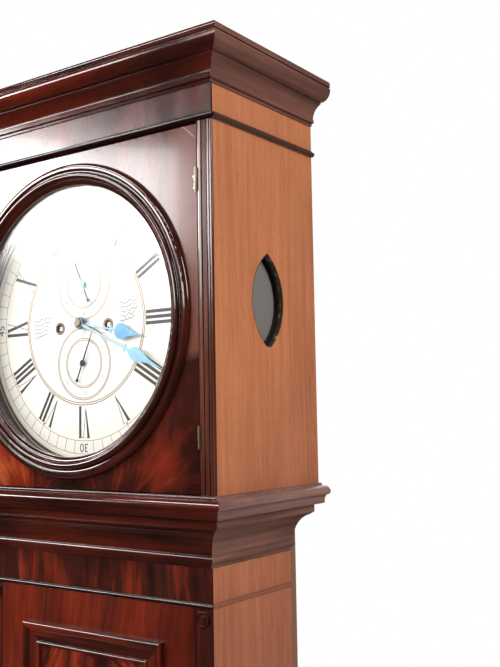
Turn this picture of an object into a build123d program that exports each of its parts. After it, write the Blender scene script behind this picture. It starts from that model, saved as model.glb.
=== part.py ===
from build123d import *
import os
from math import acos, cos, degrees, pi, radians, sin, sqrt

os.makedirs("parts", exist_ok=True)

# Longcase clock. Millimetres, +Z up, the dial faces -Y, +X is to the viewer's right.
# The origin is on the floor, under the middle of the whole clock.

# ---- Driving dimensions --------------------------------------------------------------------
TOTAL_HEIGHT = 2060.0
RING_Z = 1760.0              # centre of the round window in the hood door
DIAL_Z = 1758.0              # centre of the hands
BACK_Y = 119.3               # wall side of the backboard
BACKBOARD = 12.0
VENEERED_FACE = 3.0          # depth of the show face that laps over the side boards

HOOD_HALF = 221.0
HOOD_FRONT_Y = -89.0
HOOD_SIDE = 12.0
HOOD_FRAME = 18.0            # depth of the hood's front frame
HOOD_FLOOR_Z = RING_Z - 226.7
HOOD_BASE_TOP_Z = RING_Z - 202.0
FRIEZE_Z = RING_Z + 206.0
CORNICE_Z = RING_Z + 246.4
HOOD_TOP_Z = TOTAL_HEIGHT - 14.0
HOOD_STILE_X = 201.0         # inner edge of the hood's front stiles
HOOD_DOOR_GAP = 0.6
HOOD_DOOR = 16.0
HOOD_DOOR_TOP_GAP = 2.6

RING_R = 190.0               # turned ring round the glass
RING_IN_R = 164.0
APERTURE_R = 170.0
GLASS = 2.0
DIAL_R = 172.0
DIAL_FACE_Y = HOOD_FRONT_Y + 26.3
DIAL_PLATE = 1.8

TRUNK_HALF = 185.0
TRUNK_FRONT_Y = -52.0
TRUNK_SIDE = 12.0
TRUNK_FRAME = 16.0
THROAT_Z = RING_Z - 285.0    # lower edge of the throat moulding
TRUNK_FRIEZE_Z = RING_Z - 325.0
TRUNK_DOOR_HALF = 160.2
TRUNK_DOOR_TOP_Z = RING_Z - 329.6
TRUNK_DOOR_LOW_Z = 690.0
TRUNK_DOOR = 14.0
CHEEK_TOP_Z = 1665.0         # the trunk sides run up into the hood and carry the seatboard

BASE_HALF = 219.0
BASE_FRONT_Y = -86.0
BASE_BOARD = 14.0
BASE_TOP_Z = 590.0
BASE_LOW_Z = 75.0
SKIRTING_OUT = 10.0
SKIRTING_TOP_Z = 113.0

SEATBOARD = 18.0
SEATBOARD_BACK_Y = 27.0
PLATE = 2.5
FRONT_PLATE_Y = -36.0        # front face of the front plate
BACK_PLATE_Y = 14.5          # front face of the back plate
PLATE_HALF = 62.0
PLATE_LOW_Z = CHEEK_TOP_Z + SEATBOARD
PLATE_TOP_Z = PLATE_LOW_Z + 170.0

BARREL_X = 41.3
BARREL_Z = DIAL_Z - 4.0
BARREL_LINE_R = 22.0         # from the barrel's axis to the middle of the gut line
SECONDS_Z = DIAL_Z + 48.5
DATE_Z = DIAL_Z - 49.0
PALLET_RISE = 24.0           # pallet arbor above the escape wheel's
PENDULUM_Y = 38.0
PENDULUM_LENGTH = 994.0      # suspension to the middle of the bob: one second a swing
LINE_Y = -6.0
LINE_R = 0.8
PULLEY_LINE_R = 18.0
PULLEY_REST_Z = 430.0
WEIGHT_R = 26.0

HOUR_CLOCK_DEG = 102.0       # the hands stand at about twenty past three
MINUTE_CLOCK_DEG = 114.8
SECONDS_CLOCK_DEG = 335.0
DATE_CLOCK_DEG = 24.0

PALLET_Z = SECONDS_Z + PALLET_RISE
BELL_X = 18.0
BELL_Y = -8.0
BELL_MOUTH_Z = 1868.0
BELL_R = 48.0
RUNNING_GAP = 0.3

PANEL_WIDTH = 27.5
PANEL_HEIGHT = 8.0
PANEL_HALF = 115.0

HINGE_R = 1.8
HINGE_PIN_R = 0.9
HINGE_LEAF = 1.2
HINGE_DEPTH = 12.0

HOOD_HINGE_X = HOOD_STILE_X - HOOD_DOOR_GAP / 2
HOOD_HINGE_Y = HOOD_FRONT_Y - 1.2
HOOD_HINGE_LENGTH = 25.0
HOOD_HINGE_Z = (RING_Z - 140.5, RING_Z + 141.0)

TRUNK_HINGE_X = TRUNK_DOOR_HALF + 0.2
TRUNK_HINGE_Y = TRUNK_FRONT_Y - 1.2
TRUNK_HINGE_LENGTH = 50.0
TRUNK_HINGE_Z = (TRUNK_DOOR_LOW_Z + 110, TRUNK_DOOR_TOP_Z - 110)

ARBOR_R = 1.8
PIVOT_R = 1.2
BARREL_ARBOR_R = 3.0
WHEEL = 1.6

GREAT_TEETH = 96
CENTRE_PINION = 8
CENTRE_TEETH = 60
THIRD_PINION = 8
THIRD_TEETH = 56
ESCAPE_PINION = 7
ESCAPE_TEETH = 30
CANNON_TEETH = 30
REVERSE_PINION = 6
HOUR_TEETH = 72
DATE_TEETH = 31

GREAT_MODULE = 2 * sqrt(BARREL_X**2 + (DIAL_Z - BARREL_Z) ** 2) / (GREAT_TEETH + CENTRE_PINION)
TRAIN_MODULE = 0.8
MOTION_SPACING = 24.0
CANNON_MODULE = 2 * MOTION_SPACING / (2 * CANNON_TEETH)
HOUR_MODULE = 2 * MOTION_SPACING / (HOUR_TEETH + REVERSE_PINION)

GREAT_Y = 5.0
CENTRE_WHEEL_Y = -31.0
THIRD_WHEEL_Y = 9.6
ESCAPE_WHEEL_Y = 0.0
CANNON_Y = -42.0
HOUR_WHEEL_Y = -48.0
DATE_WHEEL_Y = -56.0

INSIDE_FRONT = FRONT_PLATE_Y + PLATE + 0.6
INSIDE_BACK = BACK_PLATE_Y - 0.6

HAND = 1.0
MINUTE_HAND_Y = -72.4
HOUR_HAND_Y = -69.2
SMALL_HAND_Y = -66.2


# ---- Shape helpers -------------------------------------------------------------------------
def block(x0, x1, y0, y1, z0, z1):
    """A box between two corners."""
    middle = Pos((x0 + x1) / 2, (y0 + y1) / 2, (z0 + z1) / 2)
    return middle * Box(x1 - x0, y1 - y0, z1 - z0)


def outline(*points):
    """A straight-sided face from its corners."""
    return make_face(Polyline(*points, close=True))


def section(start, *steps):
    """A moulding's section: each step is a point, or a (middle, end) pair for an arc."""
    edges = []
    here = start
    for step in steps:
        if isinstance(step[0], tuple):
            edges.append(ThreePointArc(here, step[0], step[1]))
            here = step[1]
        else:
            edges.append(Line(here, step))
            here = step
    if here != start:
        edges.append(Line(here, start))
    return make_face(edges)


def slab(sketch, y0, y1):
    """A front-view outline (x, z) made solid from y0 to y1."""
    return extrude(Plane.XZ.offset(-y1) * sketch, amount=y1 - y0)


def side_slab(sketch, x0, x1):
    """A side-view outline (y, z) made solid from x0 to x1."""
    return extrude(Plane.YZ.offset(x0) * sketch, amount=x1 - x0)


def upright(sketch, z0, z1):
    """A plan outline (x, y) made solid from z0 to z1."""
    return extrude(Plane.XY.offset(z0) * sketch, amount=z1 - z0)


def rod(x, z, radius, y0, y1):
    """A round bar from front to back."""
    return slab(Pos(x, z) * Circle(radius), y0, y1)


def pipe(x, z, outer, inner, y0, y1):
    """A round pipe from front to back."""
    return slab(Pos(x, z) * (Circle(outer) - Circle(inner)), y0, y1)


def post(x, y, radius, z0, z1):
    """An upright round bar."""
    return upright(Pos(x, y) * Circle(radius), z0, z1)


def pair(shape):
    """A right-hand piece and its mirror image on the left."""
    return [shape, mirror(shape, about=Plane.YZ)]


def lapped_board(half, side, front_y, depth, z0, z1):
    """A front board whose show face laps over the front edges of the side boards."""
    face = block(-half, half, front_y, front_y + VENEERED_FACE, z0, z1)
    core = block(side - half, half - side, front_y + VENEERED_FACE, front_y + depth, z0, z1)
    return face + core


def wrapped_moulding(shape, half, front_y, back_y, reach):
    """A moulding along the front and both sides, mitred at the corners.

    The section is drawn as (out from the face, height)."""
    box = shape.bounding_box()
    z0 = box.min.Y - 1
    z1 = box.max.Y + 1
    front_plane = Plane(origin=(0, front_y, 0), x_dir=(0, -1, 0), z_dir=(-1, 0, 0))
    front = extrude(front_plane * shape, amount=half + reach, both=True)
    front_plan = outline(
        (-half, front_y),
        (half, front_y),
        (half + reach, front_y - reach),
        (-half - reach, front_y - reach),
    )
    side_plane = Plane(origin=(half, back_y, 0), x_dir=(1, 0, 0), z_dir=(0, -1, 0))
    side = extrude(side_plane * shape, amount=back_y - front_y + reach)
    side_plan = outline(
        (half, back_y),
        (half + reach, back_y),
        (half + reach, front_y - reach),
        (half, front_y),
    )
    side = side & upright(side_plan, z0, z1)
    return [front & upright(front_plan, z0, z1)] + pair(side)


def applied_frame(shape, half, z0, z1, face_y, width, height):
    """A rectangle of moulding planted on a front face, mitred at its four corners.

    The section is drawn as (in from the outer edge, out from the face)."""
    middle_z = (z0 + z1) / 2
    top_plane = Plane(origin=(half, face_y, z1), x_dir=(0, 0, -1), z_dir=(-1, 0, 0))
    top = extrude(top_plane * shape, amount=2 * half) & slab(
        outline((-half, z1), (half, z1), (half - width, z1 - width), (width - half, z1 - width)),
        face_y - height,
        face_y,
    )
    side_plane = Plane(origin=(half, face_y, z0), x_dir=(-1, 0, 0), z_dir=(0, 0, 1))
    side = extrude(side_plane * shape, amount=z1 - z0) & slab(
        outline((half, z0), (half, z1), (half - width, z1 - width), (half - width, z0 + width)),
        face_y - height,
        face_y,
    )
    bottom = mirror(top, about=Plane.XY.offset(middle_z))
    return [top, bottom] + pair(side)


def write(name, *shapes):
    """Write one sub-part, which may be several separate solids."""
    solids = []
    for shape in shapes:
        solids.extend(shape.solids())
    whole = solids[0] if len(solids) == 1 else Compound(solids)
    export_step(whole, f"parts/{name}.step")


# ---- Trunk and base ------------------------------------------------------------------------
def backboard():
    """One board behind the base, the trunk and the hood."""
    foot_z = 20.0
    hood_ear = HOOD_HALF - HOOD_SIDE - 0.5
    half_outline = [
        (BASE_HALF, foot_z),
        (BASE_HALF, BASE_TOP_Z),
        (TRUNK_HALF, BASE_TOP_Z),
        (TRUNK_HALF, HOOD_FLOOR_Z + 1),
        (hood_ear, HOOD_FLOOR_Z + 1),
        (hood_ear, HOOD_TOP_Z - 1),
    ]
    left = [(-x, z) for x, z in reversed(half_outline)]
    write("backboard", slab(outline(*half_outline, *left), BACK_Y - BACKBOARD, BACK_Y))


def trunk_carcase():
    """Side boards, front stiles, bottom rail and top rail of the trunk."""
    side = block(
        TRUNK_HALF - TRUNK_SIDE,
        TRUNK_HALF,
        TRUNK_FRONT_Y + VENEERED_FACE,
        BACK_Y - BACKBOARD,
        BASE_TOP_Z,
        CHEEK_TOP_Z,
    )
    write("trunk_sides", *pair(side))

    stile_x = TRUNK_DOOR_HALF + 0.4
    stile_face = block(
        stile_x, TRUNK_HALF, TRUNK_FRONT_Y, TRUNK_FRONT_Y + VENEERED_FACE, BASE_TOP_Z, TRUNK_FRIEZE_Z
    )
    stile_core = block(
        stile_x,
        TRUNK_HALF - TRUNK_SIDE,
        TRUNK_FRONT_Y + VENEERED_FACE,
        TRUNK_FRONT_Y + TRUNK_FRAME,
        BASE_TOP_Z,
        TRUNK_FRIEZE_Z,
    )
    stile = stile_face + stile_core
    hinged_stile = stile
    for middle_z in TRUNK_HINGE_Z:
        hinged_stile -= hinge_pocket(TRUNK_HINGE_X, TRUNK_HINGE_Y, middle_z, TRUNK_HINGE_LENGTH)
    rail = block(
        -stile_x, stile_x, TRUNK_FRONT_Y, TRUNK_FRONT_Y + TRUNK_FRAME, BASE_TOP_Z, TRUNK_DOOR_LOW_Z - 0.5
    )
    roundels = trunk_roundels()
    write("trunk_front_frame", hinged_stile, mirror(stile, about=Plane.YZ), rail, *roundels)

    frieze = lapped_board(
        TRUNK_HALF, TRUNK_SIDE, TRUNK_FRONT_Y, TRUNK_FRAME, TRUNK_FRIEZE_Z, HOOD_FLOOR_Z - 2
    )
    top = TRUNK_FRIEZE_Z + 1
    bead = section(
        (0, top),
        (1, top),
        ((3, top - 2.4), (1, top - 4.8)),
        (0, top - 4.8),
    )
    beads = wrapped_moulding(bead, TRUNK_HALF, TRUNK_FRONT_Y, BACK_Y - BACKBOARD, 6)
    write("trunk_frieze", frieze, *beads)


def trunk_roundels():
    """Small turned roundels at the top of the two stiles."""
    x = 172.3
    z = RING_Z - 341.3
    button = rod(x, z, 8.6, TRUNK_FRONT_Y - 1.6, TRUNK_FRONT_Y)
    hollow = pipe(x, z, 6.6, 4.6, TRUNK_FRONT_Y - 1.6, TRUNK_FRONT_Y - 0.8)
    return pair(button - hollow)


def throat_moulding():
    """Fascia, hollow and bead that spread the trunk out to the width of the hood."""
    top = HOOD_FLOOR_Z - 0.5
    shape = section(
        (0, top),
        (36.6, top),
        (36.6, RING_Z - 236),
        (30, RING_Z - 239.6),
        ((13.8, RING_Z - 249.4), (5.4, RING_Z - 270.9)),
        ((7.2, RING_Z - 275), (4, RING_Z - 279.4)),
        ((1.8, RING_Z - 281.4), (1, THROAT_Z)),
        (0, THROAT_Z),
    )
    write(
        "throat_moulding",
        *wrapped_moulding(shape, TRUNK_HALF, TRUNK_FRONT_Y, BACK_Y - BACKBOARD, 45),
    )


def base_moulding():
    """Hollow moulding between the trunk and the wider base."""
    low = BASE_TOP_Z
    shape = section(
        (0, low + 50),
        (1.5, low + 50),
        ((4.4, low + 47), (1.5, low + 44)),
        (2.5, low + 42),
        ((9.5, low + 22), (30, low + 12.5)),
        (33, low + 12.5),
        (33, low + 10.5),
        ((39.5, low + 7.5), (37, low)),
        (0, low),
    )
    write(
        "base_moulding",
        *wrapped_moulding(shape, TRUNK_HALF, TRUNK_FRONT_Y, BACK_Y - BACKBOARD, 45),
    )


def base_box():
    """Front, sides and floor of the base, and the planted panel moulding."""
    write(
        "base_front",
        lapped_board(BASE_HALF, BASE_BOARD, BASE_FRONT_Y, BASE_BOARD + 2, BASE_LOW_Z, BASE_TOP_Z),
    )
    side = block(
        BASE_HALF - BASE_BOARD,
        BASE_HALF,
        BASE_FRONT_Y + VENEERED_FACE,
        BACK_Y - BACKBOARD,
        BASE_LOW_Z,
        BASE_TOP_Z,
    )
    write("base_sides", *pair(side))
    inner = BASE_HALF - BASE_BOARD
    floor_front = BASE_FRONT_Y + BASE_BOARD + 2
    write(
        "base_floor",
        block(-inner, inner, floor_front, BACK_Y - BACKBOARD, BASE_LOW_Z, BASE_LOW_Z + 12),
    )
    write(
        "base_panel_moulding",
        *applied_frame(panel_section(), 150, 175, 530, BASE_FRONT_Y, PANEL_WIDTH, PANEL_HEIGHT),
    )


def panel_section():
    """Ogee that stands proud at its outer edge and falls to a small inner bead."""
    return section(
        (0, 0),
        (0, 6.2),
        ((1.2, 7.4), (3, 7.7)),
        ((7, 6.9), (9.4, 4.6)),
        ((14.5, 2.5), (PANEL_WIDTH - 5, 2.2)),
        ((PANEL_WIDTH - 2.4, 4.4), (PANEL_WIDTH, 2.2)),
        (PANEL_WIDTH, 0),
    )


def skirting():
    """Skirting with bracket feet, and the glue blocks behind them that stand on the floor."""
    arch_z = 62.0
    shape = section(
        (0, 0),
        (SKIRTING_OUT, 0),
        (SKIRTING_OUT, SKIRTING_TOP_Z - 14),
        ((SKIRTING_OUT - 2, SKIRTING_TOP_Z - 9), (SKIRTING_OUT - 5, SKIRTING_TOP_Z - 7)),
        ((SKIRTING_OUT - 8, SKIRTING_TOP_Z - 5), (2, SKIRTING_TOP_Z)),
        (0, SKIRTING_TOP_Z),
    )
    pieces = wrapped_moulding(shape, BASE_HALF, BASE_FRONT_Y, BACK_Y, 12)
    front_cut = slab(foot_arch(0, 150, arch_z), BASE_FRONT_Y - 30, BASE_FRONT_Y + 5)
    middle_y = (BACK_Y + BASE_FRONT_Y) / 2
    side_cut = side_slab(foot_arch(middle_y, 55, arch_z), BASE_HALF - 5, BASE_HALF + 30)
    cuts = [front_cut] + pair(side_cut)
    feet = [piece - cut for piece, cut in zip(pieces, cuts)]
    size = 34.0
    blocks = []
    for y0 in (BASE_FRONT_Y + 0.1, BACK_Y - size - 1):
        blocks.extend(pair(block(BASE_HALF - size, BASE_HALF - 0.1, y0, y0 + size, 0, BASE_LOW_Z)))
    write("skirting", *feet)
    blocks = [piece - backboard_relief() for piece in blocks]
    write("foot_blocks", *blocks)


def backboard_relief():
    """The space of the backboard's lower end, cut out of the rear foot blocks."""
    return block(-BASE_HALF, BASE_HALF, BACK_Y - BACKBOARD, BACK_Y, 20, BASE_LOW_Z)


def foot_arch(middle, half, height):
    """Opening between two bracket feet, with ogee shoulders."""
    rise = height / 2
    return section(
        (middle - half, -5),
        (middle - half, 8),
        ((middle - half + 3, rise - 4), (middle - half + 14, rise)),
        ((middle - half + 26, rise + 5), (middle - half + 30, height)),
        (middle + half - 30, height),
        ((middle + half - 26, rise + 5), (middle + half - 14, rise)),
        ((middle + half - 3, rise - 4), (middle + half, 8)),
        (middle + half, -5),
    )


# ---- Hinges --------------------------------------------------------------------------------
def hinge_pocket(x, y, z, length):
    """Room for a butt hinge in the wood on both sides of its pin."""
    z0 = z - length / 2 - 0.2
    z1 = z + length / 2 + 0.2
    knuckle_room = post(x, y, HINGE_R + 0.5, z0, z1)
    leaf_room = block(x - 2, x + 2, y, y + HINGE_DEPTH + 1.4, z0, z1)
    return knuckle_room + leaf_room


def hinge_halves(x, y, z, length):
    """The moving leaf with its pin and two outer knuckles, and the fixed leaf with the middle one."""
    third = length / 3
    z0 = z - length / 2
    z1 = z + length / 2
    moving = block(x - 0.2 - HINGE_LEAF, x - 0.2, y, y + HINGE_DEPTH, z0, z1)
    moving += post(x, y, HINGE_R, z0, z0 + third - 0.2)
    moving += post(x, y, HINGE_R, z1 - third + 0.2, z1)
    moving -= post(x, y, HINGE_R + 0.4, z0 + third - 0.2, z1 - third + 0.2)
    moving += post(x, y, HINGE_PIN_R, z0, z1)
    fixed = block(x + 0.2, x + 0.2 + HINGE_LEAF, y, y + HINGE_DEPTH, z0, z1)
    fixed -= post(x, y, HINGE_R + 0.4, z0, z0 + third)
    fixed -= post(x, y, HINGE_R + 0.4, z1 - third, z1)
    fixed += post(x, y, HINGE_R, z0 + third, z1 - third)
    fixed -= post(x, y, HINGE_PIN_R + 0.08, z0, z1)
    return moving, fixed


def hinges(moving_name, fixed_name, x, y, places, length):
    """A pair of butt hinges on one pin line."""
    halves = [hinge_halves(x, y, z, length) for z in places]
    write(moving_name, *[moving for moving, fixed in halves])
    write(fixed_name, *[fixed for moving, fixed in halves])


# ---- Trunk door ----------------------------------------------------------------------------
def trunk_door():
    """Flat door with a planted panel moulding and a brass keyhole plate."""
    key_x = -140.0
    key_z = 1120.0
    board = block(
        -TRUNK_DOOR_HALF,
        TRUNK_DOOR_HALF,
        TRUNK_FRONT_Y,
        TRUNK_FRONT_Y + TRUNK_DOOR,
        TRUNK_DOOR_LOW_Z,
        TRUNK_DOOR_TOP_Z,
    )
    for middle_z in TRUNK_HINGE_Z:
        board -= hinge_pocket(TRUNK_HINGE_X, TRUNK_HINGE_Y, middle_z, TRUNK_HINGE_LENGTH)
    keyhole = Pos(key_x, key_z) * (Pos(0, 2) * Circle(2.2) + Pos(0, -3) * Rectangle(2, 9))
    board -= slab(keyhole, TRUNK_FRONT_Y, TRUNK_FRONT_Y + 8)
    write("trunk_door_board", board)
    low = TRUNK_DOOR_LOW_Z + 44
    top = RING_Z - 373
    write(
        "trunk_door_moulding",
        *applied_frame(panel_section(), PANEL_HALF, low, top, TRUNK_FRONT_Y, PANEL_WIDTH, PANEL_HEIGHT),
    )
    plate = Pos(key_x, key_z) * Ellipse(8, 15) - keyhole
    write("trunk_door_escutcheon", slab(plate, TRUNK_FRONT_Y - 1, TRUNK_FRONT_Y))
    hinges(
        "trunk_door_hinges",
        "trunk_hinge_leaves",
        TRUNK_HINGE_X,
        TRUNK_HINGE_Y,
        TRUNK_HINGE_Z,
        TRUNK_HINGE_LENGTH,
    )


# ---- Hood ----------------------------------------------------------------------------------
def side_window():
    """Pointed oval opening in a hood side, as (y, z)."""
    tall = 56.6
    wide = 32.2
    radius = (tall**2 + wide**2) / (2 * wide)
    offset = radius - wide
    arcs = Pos(-offset, 0) * Circle(radius) & Pos(offset, 0) * Circle(radius)
    return Pos(HOOD_FRONT_Y + 104.9, RING_Z + 14) * arcs


def hood_sides():
    """Side boards with their pointed oval windows, and the panes behind them."""
    inner = HOOD_HALF - HOOD_SIDE
    side = block(
        inner,
        HOOD_HALF,
        HOOD_FRONT_Y + VENEERED_FACE,
        BACK_Y,
        HOOD_FLOOR_Z,
        HOOD_TOP_Z,
    )
    side -= side_slab(side_window(), inner - 1, HOOD_HALF + 1)
    write("hood_sides", *pair(side))
    middle_y = HOOD_FRONT_Y + 104.9
    pane = block(
        inner - 2, inner, middle_y - 42, middle_y + 42, RING_Z + 14 - 66, RING_Z + 14 + 66
    )
    write("hood_side_glasses", *pair(pane))


def hood_front():
    """Reeded stiles, bottom rail, frieze with its bead, and the top board."""
    face = HOOD_FRONT_Y
    plan = section(
        (HOOD_STILE_X, face + HOOD_FRAME),
        (HOOD_STILE_X, face),
        ((HOOD_STILE_X + 3, face - 0.9), (HOOD_STILE_X + 6, face)),
        (HOOD_STILE_X + 6, face + 1.4),
        (HOOD_STILE_X + 7, face + 1.4),
        (HOOD_STILE_X + 7, face),
        (HOOD_STILE_X + 12.4, face),
        (HOOD_STILE_X + 12.8, face + 0.8),
        ((HOOD_STILE_X + 14.8, face), (HOOD_STILE_X + 16.6, face + 0.8)),
        ((HOOD_STILE_X + 18.8, face + 0.2), (HOOD_HALF, face + 1.4)),
        (HOOD_HALF, face + VENEERED_FACE),
        (HOOD_HALF - HOOD_SIDE, face + VENEERED_FACE),
        (HOOD_HALF - HOOD_SIDE, face + HOOD_FRAME),
    )
    stile = upright(plan, HOOD_BASE_TOP_Z, FRIEZE_Z)
    hinged_stile = stile
    for middle_z in HOOD_HINGE_Z:
        hinged_stile -= hinge_pocket(HOOD_HINGE_X, HOOD_HINGE_Y, middle_z, HOOD_HINGE_LENGTH)
    rail = lapped_board(
        HOOD_HALF, HOOD_SIDE, face, HOOD_FRAME, HOOD_FLOOR_Z, HOOD_BASE_TOP_Z
    )
    write("hood_front_frame", hinged_stile, mirror(stile, about=Plane.YZ), rail)

    board = lapped_board(HOOD_HALF, HOOD_SIDE, face, HOOD_FRAME, FRIEZE_Z, HOOD_TOP_Z)
    low = FRIEZE_Z + 0.6
    bead = section(
        (0, low),
        (1.4, low),
        ((5, low + 3.2), (1.6, low + 6)),
        (1.6, low + 7.4),
        (0, low + 7.4),
    )
    write("hood_frieze", board, *wrapped_moulding(bead, HOOD_HALF, face, BACK_Y, 8))
    write("hood_top", block(-HOOD_HALF, HOOD_HALF, face, BACK_Y, HOOD_TOP_Z, TOTAL_HEIGHT - 2))


def cornice():
    """Top moulding: square edge, quirk, ogee, hollow and two small fillets."""
    shape = section(
        (0, RING_Z + 300),
        (24.5, RING_Z + 300),
        ((28.4, RING_Z + 298.6), (30, RING_Z + 294.8)),
        (30, RING_Z + 291.4),
        (28.6, RING_Z + 291),
        (28.6, RING_Z + 290),
        (30, RING_Z + 289.6),
        (30.2, RING_Z + 287),
        ((27.9, RING_Z + 280.2), (20, RING_Z + 274.6)),
        (15.8, RING_Z + 274.2),
        (15.8, RING_Z + 272.6),
        ((8, RING_Z + 266.4), (4.2, RING_Z + 256.4)),
        (4.2, RING_Z + 254.4),
        (5, RING_Z + 254),
        (5, RING_Z + 250.2),
        (1.8, RING_Z + 249.4),
        (1.8, CORNICE_Z),
        (0, CORNICE_Z),
    )
    write("cornice", *wrapped_moulding(shape, HOOD_HALF, HOOD_FRONT_Y, BACK_Y, 34))


def hood_base_moulding():
    """Lower moulding of the hood: fillet, torus nose and hollow."""
    shape = section(
        (0, HOOD_BASE_TOP_Z),
        (4.1, HOOD_BASE_TOP_Z),
        ((4.8, RING_Z - 204.2), (7, RING_Z - 205.2)),
        ((14.4, RING_Z - 207.2), (17.2, RING_Z - 211.4)),
        ((16.4, RING_Z - 214.2), (13, RING_Z - 215.8)),
        ((9.6, RING_Z - 218.6), (8.4, RING_Z - 222.6)),
        (8.4, RING_Z - 225.2),
        (7.2, HOOD_FLOOR_Z),
        (0, HOOD_FLOOR_Z),
    )
    write("hood_base_moulding", *wrapped_moulding(shape, HOOD_HALF, HOOD_FRONT_Y, BACK_Y, 22))


# ---- Hood door -----------------------------------------------------------------------------
def hood_door():
    """Door with the round window: board, turned ring, glass and the bead that holds it."""
    half = HOOD_STILE_X - HOOD_DOOR_GAP
    back = HOOD_FRONT_Y + HOOD_DOOR
    board = block(-half, half, HOOD_FRONT_Y, back, HOOD_BASE_TOP_Z + 1, FRIEZE_Z - HOOD_DOOR_TOP_GAP)
    board -= rod(0, RING_Z, APERTURE_R, HOOD_FRONT_Y, back)
    for middle_z in HOOD_HINGE_Z:
        board -= hinge_pocket(HOOD_HINGE_X, HOOD_HINGE_Y, middle_z, HOOD_HINGE_LENGTH)
    write("hood_door_frame", board)

    lip = 2.0
    ring = section(
        (RING_R, 0),
        ((RING_R - 0.8, 4.6), (RING_R - 5, 7)),
        (RING_R - 7, 7),
        ((RING_R - 9, 5.4), (RING_R - 11.4, 5.2)),
        ((RING_R - 15.4, 9.4), (RING_R - 19.6, 7)),
        (RING_R - 20.4, 5.4),
        ((RING_R - 23.4, 4.6), (RING_IN_R, 1.6)),
        (RING_IN_R, -lip),
        (APERTURE_R - 0.2, -lip),
        (APERTURE_R - 0.2, 0),
    )
    write("dial_ring_moulding", turned(ring, 0, RING_Z, HOOD_FRONT_Y))

    glass_front = HOOD_FRONT_Y + lip
    glass = rod(0, RING_Z, APERTURE_R - 0.4, glass_front, glass_front + GLASS)
    write("hood_door_glass", glass)
    bead = section(
        (APERTURE_R - 0.2, -lip - GLASS),
        (RING_IN_R + 0.6, -lip - GLASS),
        ((RING_IN_R + 2, -lip - GLASS - 3.2), (APERTURE_R - 0.2, -lip - GLASS - 4.4)),
    )
    write("glass_bead", turned(bead, 0, RING_Z, HOOD_FRONT_Y))
    hinges(
        "hood_door_hinges",
        "hood_hinge_leaves",
        HOOD_HINGE_X,
        HOOD_HINGE_Y,
        HOOD_HINGE_Z,
        HOOD_HINGE_LENGTH,
    )


def turned(shape, x, z, face_y):
    """A ring turned about a front-to-back axis; the section is (radius, out from the face)."""
    plane = Plane(origin=(x, face_y, z), x_dir=(1, 0, 0), z_dir=(0, 0, -1))
    return revolve(plane * shape, axis=Axis((x, face_y, z), (0, 1, 0)))


# ---- Dial ----------------------------------------------------------------------------------
def dial():
    """Painted iron dial, its wooden surround, its feet and the collets of the winding holes."""
    back = DIAL_FACE_Y + DIAL_PLATE
    hole_r = 6.2
    plate = rod(0, DIAL_Z, DIAL_R, DIAL_FACE_Y, back)
    plate -= rod(0, DIAL_Z, 5.4, DIAL_FACE_Y, back)
    plate -= rod(0, SECONDS_Z, 2.2, DIAL_FACE_Y, back)
    plate -= rod(0, DATE_Z, 2.2, DIAL_FACE_Y, back)
    for x in (-BARREL_X, BARREL_X):
        plate -= rod(x, BARREL_Z, hole_r, DIAL_FACE_Y, back)
    write("dial", plate)

    collets = []
    for x in (-BARREL_X, BARREL_X):
        flange = pipe(x, BARREL_Z, 7.8, 5, DIAL_FACE_Y - 0.8, DIAL_FACE_Y)
        collets.append(flange + pipe(x, BARREL_Z, hole_r - 0.05, 5, DIAL_FACE_Y, back))
    write("winding_hole_collets", *collets)

    surround_y = back - 0.6
    surround_low = HOOD_FLOOR_Z + 6
    surround = block(-203, 203, surround_y, surround_y + 5, surround_low, FRIEZE_Z + 20)
    surround -= rod(0, DIAL_Z, DIAL_R + 0.5, surround_y, surround_y + 5)
    batten = block(
        TRUNK_HALF - TRUNK_SIDE,
        TRUNK_HALF,
        surround_y + 5,
        TRUNK_FRONT_Y + VENEERED_FACE,
        surround_low,
        CHEEK_TOP_Z,
    )
    write("dial_surround", surround, *pair(batten))

    feet = []
    for x in (-50, 50):
        for z in (DIAL_Z - 66, DIAL_Z + 84):
            feet.append(rod(x, z, 3, back, FRONT_PLATE_Y))
    write("dial_feet", *feet)


# ---- Movement frame ------------------------------------------------------------------------
def movement_frame():
    """Seatboard, two plates, pillars, back cock, bell and bell stand."""
    front = TRUNK_FRONT_Y + 6
    seat = block(-TRUNK_HALF, TRUNK_HALF, front, SEATBOARD_BACK_Y, CHEEK_TOP_Z, PLATE_LOW_Z)
    for barrel_x in (-BARREL_X, BARREL_X):
        line_x = barrel_x - BARREL_LINE_R
        seat -= post(line_x, LINE_Y, 4, CHEEK_TOP_Z - 1, PLATE_LOW_Z + 1)
    write("seatboard", seat)

    middle_z = (PLATE_LOW_Z + PLATE_TOP_Z) / 2
    plate_face = Pos(0, middle_z) * RectangleRounded(2 * PLATE_HALF, PLATE_TOP_Z - PLATE_LOW_Z, 3)
    plates = []
    for front in (FRONT_PLATE_Y, BACK_PLATE_Y):
        plate = slab(plate_face, front, front + PLATE)
        for x, z, radius in pivot_holes(front == FRONT_PLATE_Y):
            plate -= rod(x, z, radius, front - 1, front + PLATE + 1)
        plates.append(plate)
    write("movement_plates", *plates)

    pillars = []
    for x in (-54, 54):
        for z in (PLATE_LOW_Z + 8, PLATE_TOP_Z - 9):
            pillars.append(turned_pillar(x, z))
    write("plate_pillars", *pillars)

    write("back_cock", back_cock())
    write("bell", bell())
    write("bell_stand", bell_stand())


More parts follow.
